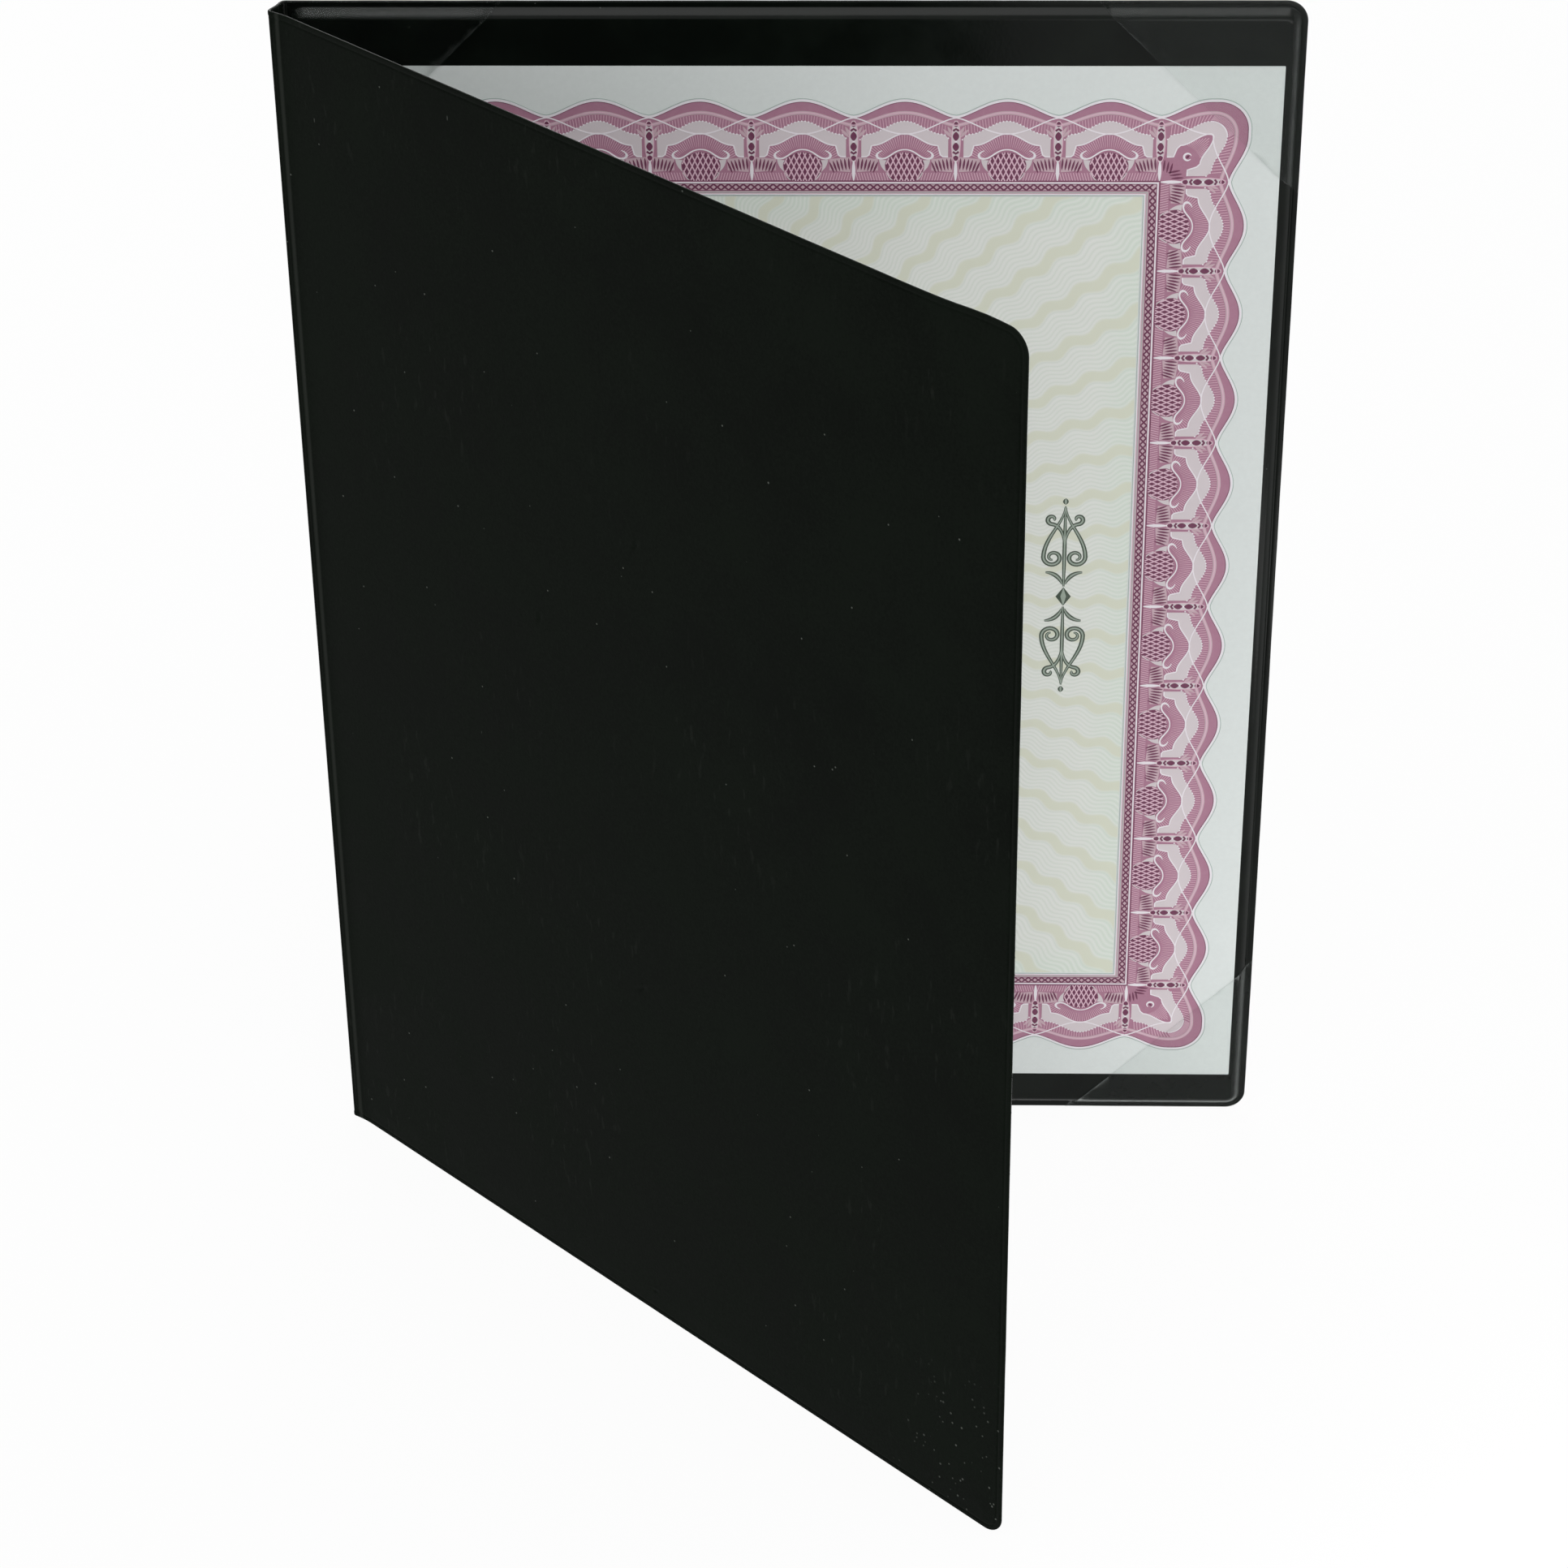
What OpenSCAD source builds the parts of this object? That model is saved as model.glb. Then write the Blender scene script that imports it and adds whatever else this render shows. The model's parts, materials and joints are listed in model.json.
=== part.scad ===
/* [Certificate] */
// Width of the certificate as it stands in the holder
sheet_w = 215.9; // [148:0.1:230]
// Height of the certificate as it stands in the holder
sheet_h = 279.4; // [210:0.1:320]
// Thickness of the certificate's paper
sheet_t = 0.15; // [0.1:0.05:0.2]

/* [Panel face round the certificate] */
// Flat face left bare beside the certificate, on the free side
free_side_gap = 0.7; // [0.2:0.1:12]
// Flat face left bare beside the certificate, on the fold side
fold_side_gap = 4.1; // [0.2:0.1:12]
// Flat face left bare above the certificate
head_gap = 10.9; // [0.2:0.1:30]
// Flat face left bare below the certificate
foot_gap = 7.9; // [0.2:0.1:30]

/* [Vinyl and board] */
// Thickness of each vinyl skin
skin_t = 0.35; // [0.2:0.05:0.6]
// Thickness of the stiffening board inside each panel
board_t = 1.6; // [0.8:0.1:2]
// Radius of the board's corners
board_corner_r = 1; // [0.5:0.1:6]
// Room between the board's edge and the skins that close round it
board_clearance = 0.1; // [0.05:0.05:1]
// Width of the flat welded edge, where the two skins are one
land_w = 1.6; // [1.2:0.1:4]
// Width of the slope from the welded edge up to the flat face
shoulder_w = 2.3; // [1:0.1:6]

/* [Spine and folds] */
// Angle between the two panels
open_angle = 44; // [0:1:180]
// Width of the spine, from one fold line to the other
spine_w = 3.8; // [3.4:0.1:12]
// Radius of the rounded fold along each side of the spine
fold_r = 0.45; // [0.4:0.05:0.8]
// Room between a fold and the end of the panel's welded edge
fold_clearance = 0.2; // [0.1:0.05:0.3]

/* [Clear corners] */
// Length of a clear corner along the panel's edges, on the free side
corner_leg = 46.5; // [20:0.5:90]
// Length of a clear corner along the panel's edges, on the fold side
fold_corner_leg = 49.8; // [20:0.1:90]
// Thickness of the clear film
film_t = 0.15; // [0.1:0.05:0.3]
// Height of the slot between the panel's face and the clear film
slot_h = 0.3; // [0.25:0.05:0.5]

/* [Hidden] */

// Straight steps that make up the curve of the slope
slope_steps = 4;
quarter_turn = 90;
// How far a cutting shape runs past what it cuts
overrun = 1;
$fn = 64;

rim_w = land_w + shoulder_w;
panel_w = sheet_w + free_side_gap + fold_side_gap + 2 * rim_w;
panel_h = sheet_h + head_gap + foot_gap + 2 * rim_w;
face_corner_r = board_corner_r + board_clearance;
foot_r = face_corner_r + shoulder_w;
panel_corner_r = foot_r + land_w;
half_board = board_t / 2;
face_h = half_board + skin_t;
fold_reach = fold_r + fold_clearance;
half_fold = quarter_turn - open_angle / 2;

vinyl = [0.07, 0.08, 0.07];
lining = [0.10, 0.12, 0.11];
greyboard = [0.58, 0.55, 0.48];
clear_film = [0.85, 0.90, 0.90, 0.35];
paper = [0.95, 0.96, 0.94];

// A panel is drawn lying down: X runs from the fold line to the free edge, Y up the panel,
// and Z out of the plane of the weld, towards the certificate side.

// Curve of the slope from its foot to the flat face: distance in from the foot, and height
function slope(lift, rise) = [
    for (i = [0:slope_steps]) let (u = i / slope_steps)
        [u * shoulder_w, lift + rise * sin(quarter_turn * u)]
];

// Section of one side of the raised face, from the foot in to the centre of its corners
function side_section(lift, rise, depth) = concat(
    [[0, -depth]], slope(lift, rise), [[foot_r, lift + rise], [foot_r, -depth]]
);

// The same section turned round, as distances out from the centre of a corner
function corner_section(lift, rise, depth) = [
    for (p = side_section(lift, rise, depth)) [foot_r - p[0], p[1]]
];

// Raised part of a panel: a flat face with sloping sides and round corners, that stands
// on the weld plane. lift raises all of it, rise is the slope's own height, and depth
// carries it down past the weld plane.
module raised_face(lift, rise, depth = 0) {
    near = land_w + foot_r;
    far_x = panel_w - near;
    far_y = panel_h - near;
    translate([near, near, -depth])
        cube([far_x - near, far_y - near, depth + lift + rise]);
    for (place = [[far_x, far_y, 0], [near, far_y, 1], [near, near, 2], [far_x, near, 3]])
        translate([place[0], place[1], 0])
            rotate([0, 0, quarter_turn * place[2]])
                rotate_extrude(angle = quarter_turn)
                    polygon(corner_section(lift, rise, depth));
    for (side = [
        [land_w, far_y, -1, far_y - near],
        [panel_w - land_w, near, 1, far_y - near],
        [near, land_w, 0, far_x - near],
        [far_x, panel_h - land_w, 2, far_x - near]
    ])
        translate([side[0], side[1], 0])
            rotate([0, 0, quarter_turn * side[2]])
                rotate([quarter_turn, 0, quarter_turn])
                    linear_extrude(side[3])
                        polygon(side_section(lift, rise, depth));
}

// Outline of a panel, square at the fold and round at its free corners
module panel_outline() {
    square_w = panel_w - panel_corner_r;
    translate([fold_reach, 0])
        square([square_w - fold_reach, panel_h]);
    translate([square_w, panel_corner_r])
        square([panel_corner_r, panel_h - 2 * panel_corner_r]);
    for (y = [panel_corner_r, panel_h - panel_corner_r])
        translate([square_w, y])
            circle(panel_corner_r);
}

// Everything on one side of the weld plane, up to a given height over the edge and the face
module panel_side(lift, rise) {
    linear_extrude(lift)
        panel_outline();
    raised_face(lift, rise);
}

// Vinyl skin that is welded flat round its edge and bulges over half of the board
module panel_skin() {
    difference() {
        panel_side(skin_t, half_board);
        raised_face(0, half_board, overrun);
    }
}

// Stiffening board, which lies half on each side of the weld plane
module panel_board() {
    inset = rim_w + board_clearance;
    board_w = panel_w - 2 * inset;
    board_h = panel_h - 2 * inset;
    translate([inset, inset, -half_board])
        linear_extrude(board_t)
            union() {
                translate([board_corner_r, 0])
                    square([board_w - 2 * board_corner_r, board_h]);
                translate([0, board_corner_r])
                    square([board_w, board_h - 2 * board_corner_r]);
                for (x = [board_corner_r, board_w - board_corner_r])
                    for (y = [board_corner_r, board_h - board_corner_r])
                        translate([x, y])
                            circle(board_corner_r);
            }
}

// Clear film across one corner of the panel, welded along its two outer edges. The slot
// under it takes the certificate's corner. at is the corner and leg the film's length.
module clear_corner(at, leg) {
    slot_rise = half_board + slot_h;
    along = at[0] > 0 ? -leg : leg;
    up = at[1] > 0 ? -leg : leg;
    difference() {
        intersection() {
            panel_side(skin_t + film_t, slot_rise);
            linear_extrude(panel_w)
                polygon([at, [at[0] + along, at[1]], [at[0], at[1] + up]]);
        }
        translate([0, 0, -overrun])
            linear_extrude(overrun + skin_t)
                translate([-overrun, -overrun])
                    square([panel_w + 2 * overrun, panel_h + 2 * overrun]);
        raised_face(skin_t, slot_rise, overrun);
    }
}

// Stands the back panel up, with its certificate side towards -Y
module stand_back() {
    translate([-panel_w / 2, 0, 0])
        rotate([quarter_turn, 0, 0])
            children();
}

// Turns the spine, drawn with both panels lying open along X, to its place
module stand_spine() {
    translate([-panel_w / 2, 0, 0])
        rotate([0, 0, half_fold])
            children();
}

// Stands the front cover up at the far fold of the spine
module stand_front() {
    stand_spine()
        translate([-spine_w, 0, 0])
            rotate([0, 0, half_fold])
                mirror([1, 0, 0])
                    rotate([quarter_turn, 0, 0])
                        children();
}

module back_outer_skin() {
    color(vinyl) stand_back() mirror([0, 0, 1]) panel_skin();
}

module back_board() {
    color(greyboard) stand_back() panel_board();
}

module back_inner_skin() {
    color(lining) stand_back() panel_skin();
}

// Outer strip of the spine with the rounded fold along both of its sides
module spine_outer_skin() {
    color(vinyl) stand_spine() {
        translate([-spine_w, 0, 0])
            cube([spine_w, skin_t, panel_h]);
        for (x = [-spine_w, 0])
            translate([x, 0, 0])
                cylinder(h = panel_h, r = fold_r);
    }
}

// Inner strip of the spine, between the two folds
module spine_inner_skin() {
    color(lining) stand_spine()
        translate([fold_r - spine_w, -skin_t, 0])
            cube([spine_w - 2 * fold_r, skin_t, panel_h]);
}

module front_outer_skin() {
    color(vinyl) stand_front() mirror([0, 0, 1]) panel_skin();
}

module front_board() {
    color(greyboard) stand_front() panel_board();
}

module front_inner_skin() {
    color(lining) stand_front() panel_skin();
}

module clear_corner_fold_top() {
    color(clear_film) stand_back() clear_corner([0, panel_h], fold_corner_leg);
}

module clear_corner_fold_bottom() {
    color(clear_film) stand_back() clear_corner([0, 0], fold_corner_leg);
}

module clear_corner_free_top() {
    color(clear_film) stand_back() clear_corner([panel_w, panel_h], corner_leg);
}

module clear_corner_free_bottom() {
    color(clear_film) stand_back() clear_corner([panel_w, 0], corner_leg);
}

module certificate_sheet() {
    color(paper) stand_back()
        translate([rim_w + fold_side_gap, rim_w + foot_gap, face_h])
            cube([sheet_w, sheet_h, sheet_t]);
}

back_outer_skin();
back_board();
back_inner_skin();
spine_outer_skin();
spine_inner_skin();
front_outer_skin();
front_board();
front_inner_skin();
clear_corner_fold_top();
clear_corner_fold_bottom();
clear_corner_free_top();
clear_corner_free_bottom();
certificate_sheet();
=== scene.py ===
"""Certificate holder that stands open: welded vinyl panels, a soft spine, clear corners and a printed sheet.

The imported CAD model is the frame. The skins, the spine, the clear corners and the certificate are modelled
here as meshes that replace the plain solids, and the boards inside the panels keep theirs.
"""

import json
import logging
import math
from collections.abc import Callable, Iterable
from dataclasses import dataclass, field, replace
from enum import Enum, IntEnum

import bmesh
import bpy
import numpy as np
from mathutils import Matrix, Vector, noise


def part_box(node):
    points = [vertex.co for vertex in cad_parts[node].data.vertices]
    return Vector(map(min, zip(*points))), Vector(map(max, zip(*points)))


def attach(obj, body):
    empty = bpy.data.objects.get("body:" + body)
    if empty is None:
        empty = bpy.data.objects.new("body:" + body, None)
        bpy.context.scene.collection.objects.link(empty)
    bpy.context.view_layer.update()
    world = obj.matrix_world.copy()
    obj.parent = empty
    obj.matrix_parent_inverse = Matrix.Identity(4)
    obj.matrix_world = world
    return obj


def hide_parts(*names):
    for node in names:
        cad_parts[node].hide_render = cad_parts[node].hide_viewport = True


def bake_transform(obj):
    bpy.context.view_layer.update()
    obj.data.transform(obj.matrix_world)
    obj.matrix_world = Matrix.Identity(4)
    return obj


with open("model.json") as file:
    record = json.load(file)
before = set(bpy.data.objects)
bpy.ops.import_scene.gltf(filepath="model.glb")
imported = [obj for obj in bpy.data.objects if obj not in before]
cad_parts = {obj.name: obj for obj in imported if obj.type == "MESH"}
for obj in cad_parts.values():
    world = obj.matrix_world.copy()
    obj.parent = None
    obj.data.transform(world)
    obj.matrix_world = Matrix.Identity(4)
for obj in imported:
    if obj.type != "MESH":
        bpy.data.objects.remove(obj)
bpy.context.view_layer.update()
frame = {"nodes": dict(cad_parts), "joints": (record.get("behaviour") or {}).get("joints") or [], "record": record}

log = logging.getLogger("certificate_holder")

MM = 0.001
UP = Vector((0.0, 0.0, 1.0))

Colour = tuple[float, float, float]


def srgb(red: float, green: float, blue: float) -> Colour:
    """Turn a colour as a screen shows it, 0 to 255, into the linear one that a shader takes.

    Args:
        red: The red part.
        green: The green part.
        blue: The blue part.

    Returns:
        The linear colour, 0 to 1.
    """

    def linear(value: float) -> float:
        share = value / 255
        return share / 12.92 if share <= 0.04045 else ((share + 0.055) / 1.055) ** 2.4

    return linear(red), linear(green), linear(blue)


def ease(share: np.ndarray) -> np.ndarray:
    """Run smoothly from 0 to 1 as share does, and stay there outside."""
    held = np.clip(share, 0.0, 1.0)
    return held * held * (3.0 - 2.0 * held)


class Wiring:
    """A node tree, with short calls for making and joining its nodes."""

    def __init__(self, tree: bpy.types.NodeTree) -> None:
        """Keep the tree that the nodes go into."""
        self.tree = tree

    def node(self, kind: str, inputs: dict | None = None, **settings) -> bpy.types.Node:
        """Add a node.

        Args:
            kind: The node's type.
            inputs: Values or sockets for its inputs, by name or number.
            settings: Values for the node's own properties.

        Returns:
            The new node.
        """
        made = self.tree.nodes.new(kind)
        for name, value in settings.items():
            setattr(made, name, value)
        for key, value in (inputs or {}).items():
            self.feed(value, made.inputs[key])
        return made

    def feed(self, value, socket: bpy.types.NodeSocket) -> None:
        """Link a socket to an input, or set the input's own value."""
        if isinstance(value, bpy.types.NodeSocket):
            self.tree.links.new(value, socket)
        elif isinstance(value, tuple) and len(value) == 3 and socket.type == "RGBA":
            socket.default_value = (*value, 1.0)
        else:
            socket.default_value = value

    def sum(self, operation: str, *terms, clamp: bool = False) -> bpy.types.NodeSocket:
        """Work out one step of arithmetic on numbers or sockets."""
        made = self.node("ShaderNodeMath", dict(enumerate(terms)), operation=operation, use_clamp=clamp)
        return made.outputs[0]

    def background_share(self) -> bpy.types.NodeSocket:
        """Give 1 to rays that show a background, seen, in gloss or through film, and 0 to the rest."""
        path = self.node("ShaderNodeLightPath").outputs
        beyond = self.sum("MAXIMUM", path["Is Glossy Ray"], path["Is Transmission Ray"])
        return self.sum("MAXIMUM", path["Is Camera Ray"], beyond)


class Shader(Wiring):
    """A material's nodes, round one Principled shader."""

    speck_spread: float = 7.3
    speck_core_share: float = 0.6

    def __init__(self, name: str) -> None:
        """Start a material of that name with a bare shader."""
        self.material = bpy.data.materials.new(name)
        self.material.use_nodes = True
        super().__init__(self.material.node_tree)
        self.tree.nodes.clear()
        self.output = self.node("ShaderNodeOutputMaterial")
        self.bsdf = self.node("ShaderNodeBsdfPrincipled")
        self.place = self.node("ShaderNodeTexCoord").outputs["Object"]
        self.feed(self.bsdf.outputs[0], self.output.inputs["Surface"])

    def set(self, **values) -> None:
        """Set the shader's own inputs, with underscores for the spaces in their names."""
        for name, value in values.items():
            self.feed(value, self.bsdf.inputs[name.replace("_", " ")])

    def stretched(self, scale: Colour, turn: Colour = (0.0, 0.0, 0.0)) -> bpy.types.NodeSocket:
        """Scale and turn the piece's own coordinates."""
        made = self.node("ShaderNodeMapping", {"Vector": self.place, "Scale": scale, "Rotation": turn})
        return made.outputs[0]

    def away_from(self, target: Colour, place=None) -> bpy.types.NodeSocket:
        """Distance of every place on the piece from one place."""
        inputs = {0: place or self.place, 1: target}
        return self.node("ShaderNodeVectorMath", inputs, operation="DISTANCE").outputs["Value"]

    def cloud(
        self, scale: float, detail: float = 2.0, rough: float = 0.5, place=None
    ) -> bpy.types.NodeSocket:
        """Give soft noise, 0 to 1, with so many lumps to the metre."""
        inputs = {"Vector": place or self.place, "Scale": scale, "Detail": detail, "Roughness": rough}
        return self.node("ShaderNodeTexNoise", inputs).outputs[0]

    def cells(self, scale: float, place=None) -> bpy.types.Node:
        """Give a field of random points, with so many to the metre."""
        return self.node("ShaderNodeTexVoronoi", {"Vector": place or self.place, "Scale": scale})

    def span(
        self, value, start: float, end: float, low: float = 0.0, high: float = 1.0
    ) -> bpy.types.NodeSocket:
        """Map start to low and end to high, smoothly, and hold the ends."""
        inputs = {"Value": value, "From Min": start, "From Max": end, "To Min": low, "To Max": high}
        made = self.node("ShaderNodeMapRange", inputs, interpolation_type="SMOOTHSTEP")
        return made.outputs[0]

    def blend(self, share, first, second) -> bpy.types.NodeSocket:
        """Go from the first colour to the second as share goes from 0 to 1."""
        made = self.node("ShaderNodeMix", {0: share}, data_type="RGBA")
        self.feed(first, made.inputs[6])
        self.feed(second, made.inputs[7])
        return made.outputs[2]

    def bump(self, height, depth: float, below=None) -> bpy.types.NodeSocket:
        """Raise the surface by height times depth, in metres, on top of another bump."""
        inputs = {"Height": height, "Distance": depth, "Strength": 1.0}
        if below is not None:
            inputs["Normal"] = below
        return self.node("ShaderNodeBump", inputs).outputs[0]

    def speck_share(self, scale: float, size: float, part: float, place=None) -> bpy.types.NodeSocket:
        """Mark small round specks.

        Args:
            scale: Places for a speck to the metre.
            size: Radius of a speck, as a share of the room that each has.
            part: Share of the places that hold one.
            place: Coordinates to use instead of the piece's own.

        Returns:
            A socket that is 1 on a speck and 0 elsewhere.
        """
        field_node = self.cells(scale, place)
        spread = self.sum("MULTIPLY", field_node.outputs[1], self.speck_spread)
        chosen = self.sum("LESS_THAN", self.sum("FRACT", spread), part)
        near = self.span(field_node.outputs[0], size, size * self.speck_core_share)
        return self.sum("MULTIPLY", chosen, near)


@dataclass(frozen=True)
class CoverVinyl:
    """Matte black vinyl on the outside, with a fine grain, dust, marks of handling and a painted highlight along
    the crease.
    """

    name: str = "cover_vinyl"
    dark: Colour = srgb(8, 12, 8)
    light: Colour = srgb(17, 22, 17)
    # Colour of dust, rub marks and fibres, and also of the painted highlight along the crease.
    dust: Colour = srgb(104, 108, 102)
    specular: float = 0.022
    sheen: Colour = (0.86, 1.0, 0.88)
    # Place on the fold's crease line, along which a pale painted highlight runs.
    crease: Colour = (0.0, 0.0, 0.0)
    crease_reach: float = 0.9 * MM
    worn_corner: Colour = (0.044, -0.157, 0.014)
    worn_reach: float = 34.0 * MM
    full_share: float = 0.2
    crease_strength: float = 0.13
    rub_strength: float = 0.04
    fibre_strength: float = 0.5
    speck_strength: float = 0.8

    def make(self) -> bpy.types.Material:
        """Build the material."""
        shader = Shader(self.name)
        mottle = shader.cloud(38.0, 5.0, 0.62)
        grain = shader.cloud(1500.0, 3.0, 0.6)
        tone = shader.span(shader.sum("ADD", mottle, shader.sum("MULTIPLY", grain, 0.7)), 0.6, 1.1)
        colour = shader.blend(tone, self.dark, self.light)

        from_corner = shader.away_from(self.worn_corner)
        worn = shader.span(from_corner, self.worn_reach, self.full_share * self.worn_reach)
        # Painted highlight: a pale line along the fold's crease, blended towards the dust colour.
        from_crease = shader.away_from(self.crease, shader.stretched((1.0, 1.0, 0.0)))
        painted_crease_highlight = shader.span(from_crease, self.crease_reach, self.full_share * self.crease_reach)
        colour = shader.blend(shader.sum("MULTIPLY", painted_crease_highlight, self.crease_strength), colour, self.dust)
        dust = shader.sum(
            "MAXIMUM", shader.speck_share(330.0, 0.085, 0.08), shader.speck_share(120.0, 0.035, 0.14)
        )
        grit = shader.sum("MULTIPLY", shader.speck_share(620.0, 0.22, 0.3), worn)
        fibres = shader.speck_share(260.0, 0.045, 0.05, shader.stretched((1.0, 1.0, 0.25), (0.35, 0.5, 0.2)))
        rub_lines = shader.cloud(700.0, 2.0, 0.5, shader.stretched((1.0, 1.0, 0.25), (0.3, 0.9, 0.0)))
        rubbed = shader.sum(
            "MULTIPLY", shader.span(rub_lines, 0.6, 0.72), shader.span(shader.cloud(24.0, 2.0), 0.5, 0.66)
        )
        colour = shader.blend(shader.sum("MULTIPLY", rubbed, self.rub_strength), colour, self.dust)
        colour = shader.blend(shader.sum("MULTIPLY", fibres, self.fibre_strength), colour, self.dust)
        specks = shader.sum("MULTIPLY", shader.sum("MAXIMUM", dust, grit), self.speck_strength)
        colour = shader.blend(specks, colour, self.dust)

        rough = shader.span(mottle, 0.3, 0.7, 0.50, 0.62)
        pores = shader.bump(grain, 0.035 * MM)
        waves = shader.bump(shader.cloud(90.0, 2.0), 0.06 * MM, pores)
        shader.set(Base_Color=colour, Roughness=rough, Normal=waves)
        shader.set(Specular_IOR_Level=self.specular, Specular_Tint=(*self.sheen, 1.0))
        return shader.material


@dataclass(frozen=True)
class LiningVinyl:
    """Smooth black vinyl of the lining, glossier than the cover."""

    name: str = "lining_vinyl"
    dark: Colour = srgb(10, 14, 11)
    light: Colour = srgb(15, 20, 16)
    dust: Colour = srgb(96, 100, 98)
    specular: float = 0.12

    def make(self) -> bpy.types.Material:
        """Build the material."""
        shader = Shader(self.name)
        mottle = shader.cloud(55.0, 4.0, 0.6)
        grain = shader.cloud(1100.0, 2.0, 0.5)
        colour = shader.blend(shader.span(mottle, 0.35, 0.7), self.dark, self.light)
        dust = shader.speck_share(300.0, 0.06, 0.10)
        colour = shader.blend(shader.sum("MULTIPLY", dust, 0.5), colour, self.dust)
        rough = shader.span(mottle, 0.3, 0.7, 0.17, 0.24)
        fine = shader.bump(grain, 0.012 * MM)
        waves = shader.bump(shader.cloud(70.0, 2.0), 0.05 * MM, fine)
        shader.set(Base_Color=colour, Roughness=rough, Normal=waves, Specular_IOR_Level=self.specular)
        return shader.material


@dataclass(frozen=True)
class Greyboard:
    """Pressed grey board with flecks of other fibres."""

    name: str = "greyboard_pulp"
    dark: Colour = srgb(142, 136, 124)
    light: Colour = srgb(176, 170, 156)
    fleck: Colour = srgb(96, 90, 80)

    def make(self) -> bpy.types.Material:
        """Build the material."""
        shader = Shader(self.name)
        pulp = shader.cloud(420.0, 6.0, 0.7)
        fibres = shader.cloud(900.0, 3.0, 0.6, shader.stretched((1.0, 1.0, 0.25), (0.0, 0.4, 0.0)))
        colour = shader.blend(shader.span(pulp, 0.3, 0.7), self.dark, self.light)
        colour = shader.blend(shader.speck_share(600.0, 0.2, 0.2), colour, self.fleck)
        shader.set(
            Base_Color=colour,
            Roughness=shader.span(fibres, 0.2, 0.8, 0.82, 0.95),
            Normal=shader.bump(fibres, 0.04 * MM),
            Specular_IOR_Level=0.2,
        )
        return shader.material


@dataclass(frozen=True)
class ClearFilm:
    """Thin clear film: it lets nearly all through, with a faint haze and a gloss that grows at a slant."""

    name: str
    haze: float
    tint: Colour = (0.982, 0.985, 0.983)
    milk: Colour = srgb(226, 232, 229)
    gloss: float = 0.003
    polish: float = 0.8

    def make(self) -> bpy.types.Material:
        """Build the material."""
        shader = Shader(self.name)
        ripple = shader.bump(shader.cloud(60.0, 2.0), 0.05 * MM)
        smears = shader.span(shader.cloud(45.0, 4.0, 0.6), 0.4, 0.75, 0.10, 0.22)
        shader.set(Base_Color=self.milk, Metallic=self.polish, Roughness=smears, Normal=ripple)
        clear = shader.node("ShaderNodeBsdfTransparent", {"Color": self.tint})
        slant = shader.node("ShaderNodeLayerWeight", {"Blend": 0.5, "Normal": ripple}).outputs["Facing"]
        rim = shader.sum("MULTIPLY_ADD", shader.sum("POWER", slant, 5.0), 1.0 - self.gloss, self.gloss)
        cover = shader.sum("ADD", rim, self.haze, clamp=True)
        layers = {0: cover, 1: clear.outputs[0], 2: shader.bsdf.outputs[0]}
        mixed = shader.node("ShaderNodeMixShader", layers)
        shader.feed(mixed.outputs[0], shader.output.inputs["Surface"])
        return shader.material


@dataclass(frozen=True)
class PrintInk:
    """One ink of the print, lightly uneven as it lies on the paper's fibres."""

    name: str
    colour: Colour
    fade: float = 0.03

    def make(self) -> bpy.types.Material:
        """Build the material."""
        shader = Shader(self.name)
        paler = tuple(c + (1.0 - c) * self.fade for c in self.colour)
        patches = shader.span(shader.cloud(620.0, 4.0, 0.7), 0.35, 0.75)
        shader.set(
            Base_Color=shader.blend(patches, self.colour, paler),
            Roughness=shader.span(patches, 0.0, 1.0, 0.52, 0.68),
            Normal=shader.bump(patches, 0.004 * MM),
            Specular_IOR_Level=0.25,
        )
        return shader.material


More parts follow.
